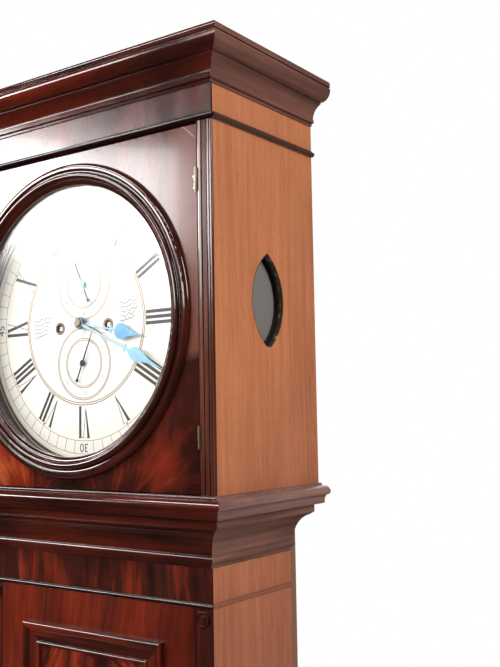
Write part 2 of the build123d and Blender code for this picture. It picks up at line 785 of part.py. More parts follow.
def pivot_holes(is_front):
    """Centres and radii of the arbor holes in a plate."""
    third_x, third_z = THIRD_PLACE
    holes = [
        (0, DIAL_Z, ARBOR_R + RUNNING_GAP),
        (third_x, third_z, PIVOT_R + RUNNING_GAP),
        (0, SECONDS_Z, PIVOT_R + RUNNING_GAP),
        (HAMMER_X, HAMMER_Z, PIVOT_R + RUNNING_GAP),
        (0, PALLET_Z, PIVOT_R + RUNNING_GAP if is_front else 5),
    ]
    for x in (-BARREL_X, BARREL_X):
        holes.append((x, BARREL_Z, BARREL_ARBOR_R + RUNNING_GAP if is_front else 2.3))
    if is_front:
        reverse_x, reverse_z = REVERSE_PLACE
        holes.append((0, DATE_Z, PIVOT_R + RUNNING_GAP))
        holes.append((reverse_x, reverse_z, PIVOT_R + RUNNING_GAP))
    return holes


def turned_pillar(x, z):
    """A brass pillar with a swelling in the middle, between the plates."""
    y0 = FRONT_PLATE_Y + PLATE
    y1 = BACK_PLATE_Y
    middle = (y0 + y1) / 2
    pillar = rod(x, z, 3, y0, y1)
    pillar += rod(x, z, 5, y0, y0 + 4)
    pillar += rod(x, z, 5, y1 - 4, y1)
    return pillar + rod(x, z, 4.4, middle - 3, middle + 3)


def back_cock():
    """Bracket behind the back plate that carries the pallet arbor and the pendulum."""
    back = BACK_PLATE_Y + PLATE
    bridge_y = back + 12
    cock = block(-24, 24, bridge_y, bridge_y + 3, PALLET_Z - 6, PALLET_Z + 14)
    cock -= rod(0, PALLET_Z, PIVOT_R + RUNNING_GAP, bridge_y, bridge_y + 3)
    for x in (-21, 21):
        cock += block(x - 3, x + 3, back, bridge_y, PALLET_Z - 6, PALLET_Z + 14)
    for x in (-4.5, 4.5):
        cock += block(x - 2, x + 2, bridge_y + 3, PENDULUM_Y + 6, PALLET_Z - 1, PALLET_Z + 14)
    return cock + block(-6.5, 6.5, bridge_y + 3, PENDULUM_Y + 6, PALLET_Z + 8, PALLET_Z + 14)


def bell():
    """Cast bell, mouth down, with a bolt hole in its crown."""
    crown = 32.0
    wall = 2.6
    shape = section(
        (3, crown),
        ((33, 24), (BELL_R, 0)),
        (BELL_R - wall, 0),
        ((31, 22), (3, crown - wall)),
    )
    plane = Plane(origin=(BELL_X, BELL_Y, BELL_MOUTH_Z), x_dir=(1, 0, 0), z_dir=(0, -1, 0))
    return revolve(plane * shape, axis=Axis((BELL_X, BELL_Y, BELL_MOUTH_Z), (0, 0, 1)))


def bell_stand():
    """Steel post from the back plate that reaches over the bell and holds it by the crown."""
    post_x = 76.0
    post_y = BACK_PLATE_Y + PLATE + 2.5
    arm_z = BELL_MOUTH_Z + 40
    stand = block(54, post_x + 2.5, post_y - 2.5, post_y + 2.5, PLATE_TOP_Z - 20, PLATE_TOP_Z - 14)
    stand += post(post_x, post_y, 2.5, PLATE_TOP_Z - 20, arm_z)
    arm_x = BELL_X - post_x
    arm_y = BELL_Y - post_y
    length = sqrt(arm_x**2 + arm_y**2)
    arm = Pos((BELL_X + post_x) / 2, (BELL_Y + post_y) / 2, arm_z)
    turn = degrees(acos(arm_x / length))
    stand += arm * Rot(0, 0, -turn) * Box(length + 5, 5, 4)
    stand += post(BELL_X, BELL_Y, 2.6, BELL_MOUTH_Z + 24, arm_z)
    return stand + post(BELL_X, BELL_Y, 5, BELL_MOUTH_Z + 33, BELL_MOUTH_Z + 36)


# ---- Wheels and arbors ---------------------------------------------------------------------
def third_place():
    """The third arbor, where its two meshes put it between the centre and seconds arbors."""
    to_centre = TRAIN_MODULE * (CENTRE_TEETH + THIRD_PINION) / 2
    to_escape = TRAIN_MODULE * (THIRD_TEETH + ESCAPE_PINION) / 2
    apart = SECONDS_Z - DIAL_Z
    rise = (to_centre**2 - to_escape**2 + apart**2) / (2 * apart)
    return sqrt(to_centre**2 - rise**2), DIAL_Z + rise


THIRD_PLACE = third_place()
REVERSE_PLACE = (MOTION_SPACING * cos(radians(225)), DIAL_Z + MOTION_SPACING * sin(radians(225)))
HAMMER_X = -42.0
HAMMER_Z = DIAL_Z + 70.0


def direction(from_place, to_place):
    """Angle of one arbor as seen from another, in degrees from +X towards +Z."""
    dx = to_place[0] - from_place[0]
    dz = to_place[1] - from_place[1]
    angle = degrees(acos(dx / sqrt(dx**2 + dz**2)))
    return angle if dz >= 0 else -angle


def toothed(place, teeth, module, first_tooth, y0, y1, bore, width=0.42, tip=0.7, root=1.2):
    """A gear with one tooth centred on the angle first_tooth; width is the share of the pitch."""
    pitch_r = module * teeth / 2
    step = 360 / teeth
    corners = []
    for tooth in range(teeth):
        middle = first_tooth + tooth * step
        for radius, share in (
            (pitch_r - root * module, -1.15 * width),
            (pitch_r + tip * module, -0.5 * width),
            (pitch_r + tip * module, 0.5 * width),
            (pitch_r - root * module, 1.15 * width),
        ):
            angle = radians(middle + share * step / 2)
            corners.append((radius * cos(angle), radius * sin(angle)))
    face = outline(*corners) - Circle(bore)
    return slab(Pos(place[0], place[1]) * face, y0, y1)


def crossings(place, inner, outer, y0, y1, spokes=4, spoke=2.6):
    """The openings between a wheel's spokes."""
    ring = Circle(outer) - Circle(inner)
    for spoke_number in range(spokes // 2):
        ring -= Rot(0, 0, 45 + 180 * spoke_number / (spokes / 2)) * Rectangle(3 * outer, spoke)
    return slab(Pos(place[0], place[1]) * ring, y0, y1)


def arbor(place, y0, y1, radius=ARBOR_R):
    """An arbor between the plates with a pivot at each end."""
    body = rod(place[0], place[1], radius, y0, y1)
    ends = rod(
        place[0], place[1], PIVOT_R, FRONT_PLATE_Y + 0.3, BACK_PLATE_Y + PLATE - 0.3
    )
    return body + ends


def centre_arbor():
    """Centre pinion, centre wheel, arbor and the cannon that carries the minute hand."""
    centre = (0, DIAL_Z)
    barrel = (BARREL_X, BARREL_Z)
    pinion_tooth = direction(centre, barrel) + 180 / CENTRE_PINION
    shape = rod(0, DIAL_Z, ARBOR_R, MINUTE_HAND_Y - 1.2, BACK_PLATE_Y + PLATE - 0.3)
    shape += toothed(
        centre, CENTRE_PINION, GREAT_MODULE, pinion_tooth, GREAT_Y - 1, GREAT_Y + 4, 1, 0.34, 0.5
    )
    wheel_tooth = direction(centre, THIRD_PLACE)
    wheel = toothed(
        centre, CENTRE_TEETH, TRAIN_MODULE, wheel_tooth, CENTRE_WHEEL_Y, CENTRE_WHEEL_Y + WHEEL, 1
    )
    wheel -= crossings(centre, 6, 19.5, CENTRE_WHEEL_Y, CENTRE_WHEEL_Y + WHEEL)
    shape += wheel
    shape += toothed(
        centre,
        CANNON_TEETH,
        CANNON_MODULE,
        direction(centre, REVERSE_PLACE),
        CANNON_Y,
        CANNON_Y + WHEEL,
        1,
    )
    shape += rod(0, DIAL_Z, 2.6, MINUTE_HAND_Y + HAND, CANNON_Y)
    collet = section((1, 0), (1, 1.9), (2.6, 1.8), ((4.6, 1.5), (5.4, 0)))
    write("centre_arbor", shape + turned(collet, 0, DIAL_Z, MINUTE_HAND_Y))


def motion_work():
    """Hour wheel with its pipe, and the reverse wheel that drives it from the cannon wheel."""
    centre = (0, DIAL_Z)
    wheel = toothed(
        centre,
        HOUR_TEETH,
        HOUR_MODULE,
        direction(centre, REVERSE_PLACE),
        HOUR_WHEEL_Y,
        HOUR_WHEEL_Y + WHEEL,
        3,
    )
    wheel -= crossings(centre, 7, 18.5, HOUR_WHEEL_Y, HOUR_WHEEL_Y + WHEEL)
    wheel += pipe(0, DIAL_Z, 4.4, 3, HOUR_HAND_Y + HAND, HOUR_WHEEL_Y)
    write("hour_wheel", wheel)

    back_to_centre = direction(REVERSE_PLACE, centre)
    reverse = toothed(
        REVERSE_PLACE,
        CANNON_TEETH,
        CANNON_MODULE,
        back_to_centre + 180 / CANNON_TEETH,
        CANNON_Y,
        CANNON_Y + WHEEL,
        1,
    )
    reverse += toothed(
        REVERSE_PLACE,
        REVERSE_PINION,
        HOUR_MODULE,
        back_to_centre + 180 / REVERSE_PINION,
        HOUR_WHEEL_Y - 0.6,
        CANNON_Y,
        0.5,
        0.32,
        0.5,
    )
    reverse += rod(REVERSE_PLACE[0], REVERSE_PLACE[1], PIVOT_R, CANNON_Y, FRONT_PLATE_Y + PLATE)
    write("reverse_wheel", reverse)


def going_train():
    """Great wheel, third wheel, escape wheel and date wheel."""
    centre = (0, DIAL_Z)
    barrel = (BARREL_X, BARREL_Z)
    great = toothed(
        barrel,
        GREAT_TEETH,
        GREAT_MODULE,
        direction(barrel, centre),
        GREAT_Y,
        GREAT_Y + 2,
        BARREL_ARBOR_R + RUNNING_GAP,
    )
    write("great_wheel", great)

    third_pinion_tooth = direction(THIRD_PLACE, centre) + 180 / THIRD_PINION
    third = toothed(
        THIRD_PLACE,
        THIRD_PINION,
        TRAIN_MODULE,
        third_pinion_tooth,
        CENTRE_WHEEL_Y - 1,
        CENTRE_WHEEL_Y + 3.6,
        1,
        0.34,
        0.5,
    )
    escape_place = (0, SECONDS_Z)
    wheel = toothed(
        THIRD_PLACE,
        THIRD_TEETH,
        TRAIN_MODULE,
        direction(THIRD_PLACE, escape_place),
        THIRD_WHEEL_Y,
        THIRD_WHEEL_Y + WHEEL,
        1,
    )
    wheel -= crossings(THIRD_PLACE, 5, 18, THIRD_WHEEL_Y, THIRD_WHEEL_Y + WHEEL)
    third += wheel
    write("third_wheel", third + arbor(THIRD_PLACE, INSIDE_FRONT, INSIDE_BACK))

    pinion = toothed(
        escape_place,
        ESCAPE_PINION,
        TRAIN_MODULE,
        direction(escape_place, THIRD_PLACE) + 180 / ESCAPE_PINION,
        THIRD_WHEEL_Y - 1,
        INSIDE_BACK,
        1,
        0.34,
        0.5,
    )
    write("escape_wheel", escape_wheel() + pinion + seconds_arbor())


def seconds_arbor():
    """The escape wheel's arbor, which runs on through the dial to carry the seconds hand."""
    shape = rod(0, SECONDS_Z, ARBOR_R - 0.3, INSIDE_FRONT, INSIDE_BACK)
    return shape + rod(0, SECONDS_Z, PIVOT_R, SMALL_HAND_Y + HAND, BACK_PLATE_Y + PLATE - 0.3)


def escape_wheel():
    """Thirty pointed teeth on a light crossed wheel."""
    tip_r = 17.5
    root_r = 13.8
    step = 360 / ESCAPE_TEETH
    corners = []
    for tooth in range(ESCAPE_TEETH):
        for radius, share in ((root_r, 0), (tip_r, 0.12), (tip_r, 0.2), (root_r, 0.62)):
            angle = radians((tooth + share) * step)
            corners.append((radius * cos(angle), radius * sin(angle)))
    face = Pos(0, SECONDS_Z) * (outline(*corners) - Circle(1))
    wheel = slab(face, ESCAPE_WHEEL_Y, ESCAPE_WHEEL_Y + 1.4)
    return wheel - crossings((0, SECONDS_Z), 4, 12, ESCAPE_WHEEL_Y, ESCAPE_WHEEL_Y + 1.4, spoke=2)


def barrel(name, x):
    """Winding arbor with its square, and the grooved barrel that the gut line winds on."""
    y0 = -26.0
    y1 = 4.0
    groove_r = BARREL_LINE_R - LINE_R
    drum = rod(x, BARREL_Z, groove_r - 0.8, y0, y1)
    turns = 12
    pitch = (y1 - y0 - 3) / turns
    for turn in range(turns + 1):
        ridge_y = y0 + 1.5 + turn * pitch
        drum += rod(x, BARREL_Z, groove_r, ridge_y - 0.3, ridge_y + 0.3)
    for flange_y in (y0, y1 - 1.4):
        drum += rod(x, BARREL_Z, groove_r + 2.4, flange_y, flange_y + 1.4)
    drum += rod(x, BARREL_Z, BARREL_ARBOR_R, -50, GREAT_Y + 4)
    drum += rod(x, BARREL_Z, 2, GREAT_Y + 4, BACK_PLATE_Y + PLATE - 0.3)
    square = slab(Pos(x, BARREL_Z) * Rectangle(5.2, 5.2), DIAL_FACE_Y + 1, -49)
    write(name, drum + square)


# ---- Hands ---------------------------------------------------------------------------------
def spade_hand(hub_r, hole_r, stem, bar_at, neck, widest_at, widest, length):
    """Hand outline along +X: hub, tapering stem, cross bar, spade and fine point."""
    stem_shape = outline((hub_r - 1, -stem), (bar_at, -1), (bar_at, 1), (hub_r - 1, stem))
    bar = Pos(bar_at, 0) * Ellipse(2, 4.6)
    blade = section(
        (neck, 1.2),
        ((neck + (widest_at - neck) * 0.35, widest * 0.82), (widest_at, widest)),
        ((widest_at + (length - widest_at) * 0.38, widest * 0.36), (length, 0.35)),
        (length, -0.35),
        ((widest_at + (length - widest_at) * 0.38, -widest * 0.36), (widest_at, -widest)),
        ((neck + (widest_at - neck) * 0.35, -widest * 0.82), (neck, -1.2)),
    )
    link = Pos((bar_at + neck) / 2, 0) * Rectangle(neck - bar_at + 2, 2.2)
    return Circle(hub_r) + stem_shape + bar + link + blade - Circle(hole_r)


def small_hand():
    """Thin hand with a fine point and a round end on its tail."""
    shape = Circle(4) + outline((0, -1), (40, -0.25), (40, 0.25), (0, 1))
    return shape + outline((0, -0.9), (-23, -0.6), (-23, 0.6), (0, 0.9)) + Pos(-23, 0) * Circle(2.2)


def placed_hand(shape, z, clock_deg, y):
    """A hand turned to its clock angle about the arbor at height z."""
    return slab(Pos(0, z) * Rot(0, 0, 90 - clock_deg) * shape, y, y + HAND)


def hands():
    """Hour, minute, seconds and date hands; the date hand has its 31-tooth wheel."""
    hour = spade_hand(8, 3, 2, 52, 58, 71, 9.5, 107)
    write("hour_hand", placed_hand(hour, DIAL_Z, HOUR_CLOCK_DEG, HOUR_HAND_Y))
    minute = spade_hand(7, ARBOR_R, 1.8, 84, 90, 106, 7.8, 152.5)
    hand = placed_hand(minute, DIAL_Z, MINUTE_CLOCK_DEG, MINUTE_HAND_Y)
    write("minute_hand", hand)
    write("seconds_hand", placed_hand(small_hand(), SECONDS_Z, SECONDS_CLOCK_DEG, SMALL_HAND_Y))
    date = placed_hand(small_hand(), DATE_Z, DATE_CLOCK_DEG, SMALL_HAND_Y)
    date += rod(0, DATE_Z, PIVOT_R, SMALL_HAND_Y + HAND, FRONT_PLATE_Y + PLATE)
    date += toothed((0, DATE_Z), DATE_TEETH, 1, 0, DATE_WHEEL_Y, DATE_WHEEL_Y + 1.4, 1)
    write("date_hand", date)


# ---- Escapement, pendulum, hammer ----------------------------------------------------------
def pallets():
    """Anchor on its arbor, with the crutch that grips the pendulum rod."""
    anchor_y = ESCAPE_WHEEL_Y
    anchor = section(
        (-13.6, PALLET_Z - 10.6),
        (-16.4, PALLET_Z - 8.4),
        ((-9, PALLET_Z + 1), (0, PALLET_Z + 4)),
        ((9, PALLET_Z + 1), (16.4, PALLET_Z - 8.4)),
        (13.6, PALLET_Z - 10.6),
        ((7.5, PALLET_Z - 4.8), (0, PALLET_Z - 3.2)),
        ((-7.5, PALLET_Z - 4.8), (-13.6, PALLET_Z - 10.6)),
    )
    shape = slab(anchor, anchor_y - 0.6, anchor_y + 2)
    shape += rod(0, PALLET_Z, ARBOR_R, INSIDE_FRONT, BACK_PLATE_Y + PLATE + 11)
    shape += rod(0, PALLET_Z, PIVOT_R, FRONT_PLATE_Y + 0.3, BACK_PLATE_Y + PLATE + 14)
    crutch_y = BACK_PLATE_Y + PLATE + 5
    foot_z = PALLET_Z - 110
    shape += block(-1.5, 1.5, crutch_y - 1.5, crutch_y + 1.5, foot_z, PALLET_Z)
    shape += block(-6, 6, crutch_y - 1.5, crutch_y + 1.5, foot_z - 3, foot_z + 3)
    for x in (-5, 5):
        shape += block(x - 1, x + 1, crutch_y, PENDULUM_Y + 4, foot_z - 3, foot_z + 3)
    return shape


def pendulum():
    """Suspension spring, rod, rating screw and nut, and the lens-shaped bob."""
    bob_z = PALLET_Z - PENDULUM_LENGTH
    bob_r = 52.0
    bob_half = 12.5
    spring = block(-0.3, 0.3, PENDULUM_Y - 3, PENDULUM_Y + 3, PALLET_Z - 28, PALLET_Z + 6)
    shape = spring + block(-2.4, 2.4, PENDULUM_Y - 3.4, PENDULUM_Y + 3.4, PALLET_Z - 40, PALLET_Z - 27)
    shape += post(0, PENDULUM_Y, 2.4, bob_z + bob_r + 2, PALLET_Z - 39)
    shape += block(-1.9, 1.9, PENDULUM_Y - 1.9, PENDULUM_Y + 1.9, bob_z - bob_r - 26, bob_z + bob_r + 3)
    write("pendulum_rod", shape)
    lens = section(
        (0, bob_half),
        ((bob_r * 0.55, bob_half * 0.72), (bob_r, 1)),
        (bob_r, -1),
        ((bob_r * 0.55, -bob_half * 0.72), (0, -bob_half)),
    )
    bob = turned(lens, 0, bob_z, PENDULUM_Y)
    slot = block(-2, 2, PENDULUM_Y - 2, PENDULUM_Y + 2, bob_z - bob_r - 5, bob_z + bob_r + 5)
    nut_z = bob_z - bob_r - 12
    nut = upright(Pos(0, PENDULUM_Y) * RegularPolygon(8, 6), nut_z, nut_z + 9)
    nut -= block(-1.9, 1.9, PENDULUM_Y - 1.9, PENDULUM_Y + 1.9, nut_z - 1, nut_z + 10)
    write("pendulum_bob", bob - slot, nut)
    write("pallets_and_crutch", pallets())


def hammer():
    """Bell hammer on its arbor, resting just clear of the bell's rim."""
    head_z = BELL_MOUTH_Z + 4
    head_end = BELL_X - BELL_R - 1.5
    shape = arbor((HAMMER_X, HAMMER_Z), INSIDE_FRONT, INSIDE_BACK)
    stem = section(
        (HAMMER_X - 1.2, HAMMER_Z),
        (head_end - 9, head_z),
        (head_end - 6.4, head_z),
        (HAMMER_X + 1.4, HAMMER_Z),
    )
    shape += slab(stem, BELL_Y - 1.5, BELL_Y + 1.5)
    head = Pos(head_end - 7, BELL_Y, head_z) * Rot(0, 90, 0) * Cylinder(5, 14)
    write("hammer", shape + head)


# ---- Weights and lines ---------------------------------------------------------------------
def weight(name, barrel_x):
    """Brass-cased weight with its stirrup and pulley, at the bottom of its fall."""
    x = barrel_x - BARREL_LINE_R + PULLEY_LINE_R
    top = PULLEY_REST_Z - 28
    low = top - 210
    body = post(x, LINE_Y, WEIGHT_R, low, top)
    body += post(x, LINE_Y, WEIGHT_R - 8, top, top + 5)
    body += block(x - 4, x + 4, LINE_Y - 5, LINE_Y + 5, top + 4, PULLEY_REST_Z - 20)
    groove_r = PULLEY_LINE_R - LINE_R
    for y in (-5, 5):
        body += block(
            x - 4, x + 4, LINE_Y + y - 1, LINE_Y + y + 1, PULLEY_REST_Z - 24, PULLEY_REST_Z + 6
        )
    body += rod(x, PULLEY_REST_Z, 2, LINE_Y - 6, LINE_Y + 6)
    wheel = turned(
        section(
            (2, -3),
            (2, 3),
            (groove_r + 1.4, 3),
            (groove_r, 1),
            (groove_r, -1),
            (groove_r + 1.4, -3),
        ),
        x,
        PULLEY_REST_Z,
        LINE_Y,
    )
    write(name, body, wheel)


def line(name, barrel_x):
    """Gut line below the seatboard: down, round the pulley and up again."""
    top = CHEEK_TOP_Z - 0.2
    left = barrel_x - BARREL_LINE_R
    x = left + PULLEY_LINE_R
    right = x + PULLEY_LINE_R
    path = (
        Line((left, LINE_Y, top), (left, LINE_Y, PULLEY_REST_Z))
        + ThreePointArc(
            (left, LINE_Y, PULLEY_REST_Z),
            (x, LINE_Y, PULLEY_REST_Z - PULLEY_LINE_R),
            (right, LINE_Y, PULLEY_REST_Z),
        )
        + Line((right, LINE_Y, PULLEY_REST_Z), (right, LINE_Y, top))
    )
    start = Plane(origin=(left, LINE_Y, top), x_dir=(1, 0, 0), z_dir=(0, 0, -1))
    write(name, sweep(start * Circle(LINE_R - 0.1), path=path))


# ---- The whole clock -----------------------------------------------------------------------
backboard()
trunk_carcase()
throat_moulding()
base_moulding()
base_box()
skirting()
trunk_door()
hood_sides()
hood_front()
cornice()
hood_base_moulding()
hood_door()
dial()
movement_frame()
centre_arbor()
motion_work()
going_train()
barrel("going_barrel", BARREL_X)
barrel("strike_barrel", -BARREL_X)
hands()
pendulum()
hammer()
weight("going_weight", BARREL_X)
weight("strike_weight", -BARREL_X)
line("going_line", BARREL_X)
line("strike_line", -BARREL_X)
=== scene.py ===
from math import atan2, cos, pi, radians, sin
from random import Random

import bmesh
import bpy
from mathutils import Matrix, Vector


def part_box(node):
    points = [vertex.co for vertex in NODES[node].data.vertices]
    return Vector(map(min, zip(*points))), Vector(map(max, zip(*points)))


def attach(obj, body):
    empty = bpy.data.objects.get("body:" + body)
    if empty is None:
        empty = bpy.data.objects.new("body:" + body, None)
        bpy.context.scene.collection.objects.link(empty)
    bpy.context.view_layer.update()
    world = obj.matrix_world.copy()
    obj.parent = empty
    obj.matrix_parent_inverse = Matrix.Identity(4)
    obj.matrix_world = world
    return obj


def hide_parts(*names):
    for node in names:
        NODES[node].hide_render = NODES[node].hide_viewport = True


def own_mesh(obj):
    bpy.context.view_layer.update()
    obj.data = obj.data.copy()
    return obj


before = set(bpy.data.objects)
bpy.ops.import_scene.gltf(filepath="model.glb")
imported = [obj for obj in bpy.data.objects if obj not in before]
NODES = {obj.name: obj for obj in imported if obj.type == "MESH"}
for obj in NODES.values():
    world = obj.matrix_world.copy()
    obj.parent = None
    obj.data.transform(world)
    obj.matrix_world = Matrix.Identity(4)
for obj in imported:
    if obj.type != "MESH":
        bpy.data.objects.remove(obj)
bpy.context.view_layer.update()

MM = 0.001


# ---- Places, taken from the frame ----
def middle(node):
    """The centre of a CAD node's box."""
    low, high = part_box(node)
    return (low + high) / 2


RING = middle("dial_ring_moulding")
DIAL = middle("dial")
DIAL_FACE_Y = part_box("dial")[0].y
DOOR_FACE_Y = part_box("hood_door_frame")[0].y
DOOR_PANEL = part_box("trunk_door_moulding")
BASE_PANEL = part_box("base_panel_moulding")
SECONDS = middle("escape_wheel")
DATE_Z = DIAL.z - 49 * MM
WINDOW = middle("hood_side_glasses")
WINDOW_TALL = 56.6 * MM
WINDOW_WIDE = 32.2 * MM


# ---- Node material builder ----
class Shader:
    """A material whose nodes are made by short calls; every input takes a number or a socket."""

    def __init__(self, name):
        self.material = bpy.data.materials.new(name)
        self.material.use_nodes = True
        self.tree = self.material.node_tree
        self.bsdf = self.tree.nodes["Principled BSDF"]
        self.output = self.tree.nodes["Material Output"]
        self.where = self.node("ShaderNodeTexCoord").outputs["Object"]

    def feed(self, socket, value):
        if isinstance(value, bpy.types.NodeSocket):
            self.tree.links.new(value, socket)
        elif isinstance(value, tuple) and len(value) == 3 and len(socket.default_value) == 4:
            socket.default_value = (*value, 1)
        else:
            socket.default_value = value

    def node(self, kind, inputs=(), **settings):
        """A new node; inputs are (name or number, value) pairs or a dictionary of them."""
        made = self.tree.nodes.new(kind)
        for key, value in settings.items():
            setattr(made, key, value)
        for key, value in dict(inputs).items():
            self.feed(made.inputs[key], value)
        return made

    def math(self, operation, *values):
        return self.node("ShaderNodeMath", enumerate(values), operation=operation).outputs[0]

    def times(self, a, b):
        return self.math("MULTIPLY", a, b)

    def plus(self, a, b):
        return self.math("ADD", a, b)

    def minus(self, a, b):
        return self.math("SUBTRACT", a, b)

    def times_plus(self, a, b, c):
        return self.math("MULTIPLY_ADD", a, b, c)

    def absolute(self, value):
        return self.math("ABSOLUTE", value)

    def below(self, value, limit):
        return self.math("LESS_THAN", value, limit)

    def above(self, value, limit):
        return self.math("GREATER_THAN", value, limit)

    def split(self, vector=None):
        return self.node("ShaderNodeSeparateXYZ", {0: vector or self.where}).outputs

    def join(self, x, y, z):
        return self.node("ShaderNodeCombineXYZ", {"X": x, "Y": y, "Z": z}).outputs[0]

    def noise(self, vector, scale=1.0, detail=4.0, roughness=0.55, distortion=0.0):
        made = self.node("ShaderNodeTexNoise", {
            "Vector": vector, "Scale": scale, "Detail": detail,
            "Roughness": roughness, "Distortion": distortion,
        })
        return made.outputs[0]

    def cloud(self, stretch, offset=(0, 0, 0), **settings):
        """Noise through the whole piece; stretch is one number or one for each axis."""
        scale = stretch if isinstance(stretch, tuple) else (stretch,) * 3
        inputs = {"Vector": self.where, "Scale": scale, "Location": offset}
        return self.noise(self.node("ShaderNodeMapping", inputs).outputs[0], **settings)

    def ramp(self, value, *stops):
        """Stops are (position, colour or grey level)."""
        made = self.node("ShaderNodeValToRGB", {0: value})
        elements = made.color_ramp.elements
        while len(elements) < len(stops):
            elements.new(0.5)
        for element, (position, colour) in zip(elements, stops):
            element.position = position
            level = colour if isinstance(colour, tuple) else (colour,) * 3
            element.color = (*level, 1)
        return made.outputs[0]

    def mix(self, factor, a, b, blend="MIX"):
        inputs = {0: factor, 6: a, 7: b}
        made = self.node("ShaderNodeMix", inputs, data_type="RGBA", blend_type=blend)
        return made.outputs[2]

    def shade(self, colour, shadow, factor=1.0):
        """Colour darkened or tinted by another."""
        return self.mix(factor, colour, shadow, "MULTIPLY")

    def soft_edges(self, radius=0.5 * MM):
        return self.node("ShaderNodeBevel", {"Radius": radius}, samples=4).outputs[0]

    def quirks(self, darkest=0.06, reach=12 * MM):
        """Painted shade: a grey level that darkens the hollows of a moulding, most where they are
        most enclosed.
        """
        inputs = {"Distance": reach}
        made = self.node("ShaderNodeAmbientOcclusion", inputs, samples=6, only_local=True)
        return self.ramp(made.outputs["AO"], (0.4, darkest), (0.97, 1.0))

    def bump(self, height, distance, strength=1.0, normal=None):
        inputs = {"Strength": strength, "Distance": distance, "Height": height}
        if normal is not None:
            inputs["Normal"] = normal
        return self.node("ShaderNodeBump", inputs).outputs[0]

    def finish(self, colour, roughness, normal=None, **others):
        self.feed(self.bsdf.inputs["Base Color"], colour)
        self.feed(self.bsdf.inputs["Roughness"], roughness)
        if normal is not None:
            self.feed(self.bsdf.inputs["Normal"], normal)
        for key, value in others.items():
            self.bsdf.inputs[key.replace("_", " ")].default_value = value
        return self.material


def mixed(tree, factor, first, second):
    """Two shader nodes mixed by a socket."""
    made = tree.nodes.new("ShaderNodeMixShader")
    for socket, source in zip(made.inputs, (factor, first.outputs[0], second.outputs[0])):
        tree.links.new(source, socket)
    return made


def placed(name, data):
    """A new object in the scene."""
    thing = bpy.data.objects.new(name, data)
    bpy.context.scene.collection.objects.link(thing)
    return thing


# ---- Wood ----
def mitre(node):
    """Where a wrapped moulding's corner joint lies, as -y - |x| along the joint."""
    low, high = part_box(node)
    return -low.y - high.x


DARK = (0.010, 0.0028, 0.0020)
UMBER = (0.038, 0.0062, 0.0033)
DEEP_RED = (0.084, 0.0098, 0.0038)
RED = (0.145, 0.0155, 0.0050)
FLAME = (0.36, 0.075, 0.020)
BROWN = (0.070, 0.021, 0.013)
RUSSET = (0.15, 0.045, 0.026)
SIDE_DARK = (0.37, 0.122, 0.050)
SIDE_MID = (0.455, 0.157, 0.063)
SIDE_PALE = (0.52, 0.195, 0.078)
EDGE_BROWN = (0.17, 0.066, 0.043)
MOULDING_SIDE = ((0.085, 0.038, 0.028), (0.175, 0.078, 0.058), (0.28, 0.125, 0.085))
HOOD_BEAD_SIDE = (0.055, 0.028, 0.022)
TRUNK_BEAD_SIDE = (0.20, 0.078, 0.048)
KNOT = (0.07, 0.028, 0.012)
JOINT = (0.02, 0.012, 0.008)
STAINED = (0.17, 0.07, 0.04)
# Places in the hood door's veneer, as distances out from and below the dial ring's centre
FAN = (0.062, 0.235)
GLOW = (0.130, 0.160)
LEFT_GLOW = (0.115, 0.182)
SEAM_SLOPE, SEAM_DROP = -0.25, 0.106
PANEL_BAND = 24 * MM              # width of a panel moulding
SLACK = 0.3 * MM                  # what counts as past a face
BRIGHT = ((0.09, 0.17), 0.3)      # roughness range and coat of the mouldings
HAZY = ((0.15, 0.25), 0.08)       # the same for the large veneered faces


def polish(shader, colour, grain, seed, rough=BRIGHT[0], coat=BRIGHT[1], dull=None):
    """French polish over a wood colour: slight haze, open pores and gentle ripples."""
    haze = shader.cloud((22, 22, 5), (seed, 0, 0), detail=2)
    fine = shader.cloud(160, (0, seed, 0), detail=2)
    roughness = shader.ramp(shader.times_plus(fine, 0.35, haze), (0.45, rough[0]), (0.95, rough[1]))
    if dull is not None:
        roughness = shader.times_plus(dull, 0.28, roughness)
    ripple = shader.bump(haze, 0.08 * MM, 0.25, shader.soft_edges())
    normal = shader.bump(grain, 0.015 * MM, 0.08, ripple)
    return shader.finish(
        colour, roughness, normal, Coat_Weight=coat, Coat_Roughness=0.03,
        Coat_IOR=1.5, Specular_IOR_Level=0.5,
    )


def distance(shader, x, z):
    """Length of a flat (x, z) offset."""
    return shader.math("SQRT", shader.times_plus(x, x, shader.times(z, z)))


def streaks(shader, across, along, seed, contrast=1.0):
    """Light and dark figure, from (place, fineness) across the grain and along it."""
    across, along = shader.times(*across), shader.times(*along)
    place = shader.join(across, along, seed)
    slow = shader.noise(place, 1, detail=5, roughness=0.6, distortion=0.6)
    wide = shader.times(across, 0.23)
    broad = shader.noise(shader.join(wide, along, seed + 3.7), 1, detail=2)
    both = shader.times_plus(broad, 1.1, shader.times(slow, 0.9 * contrast))
    return shader.minus(both, 0.5)


def pores(shader, across, along, seed):
    """Short dark vessel lines of mahogany, from the same pairs as streaks."""
    place = shader.join(shader.times(*across), shader.times(*along), seed)
    lines = shader.noise(place, 1, detail=3, roughness=0.7)
    return shader.ramp(lines, (0.56, 1.0), (0.66, 0.35))


def veneer(shader, colour, x, z, seed, rough, coat, dull=None, fine=120):
    """Polish over upright veneer whose pores darken its colour a little."""
    fleck = pores(shader, (x, 900), (z, fine), seed)
    return polish(shader, shader.shade(colour, fleck, 0.35), fleck, seed, rough, coat, dull)


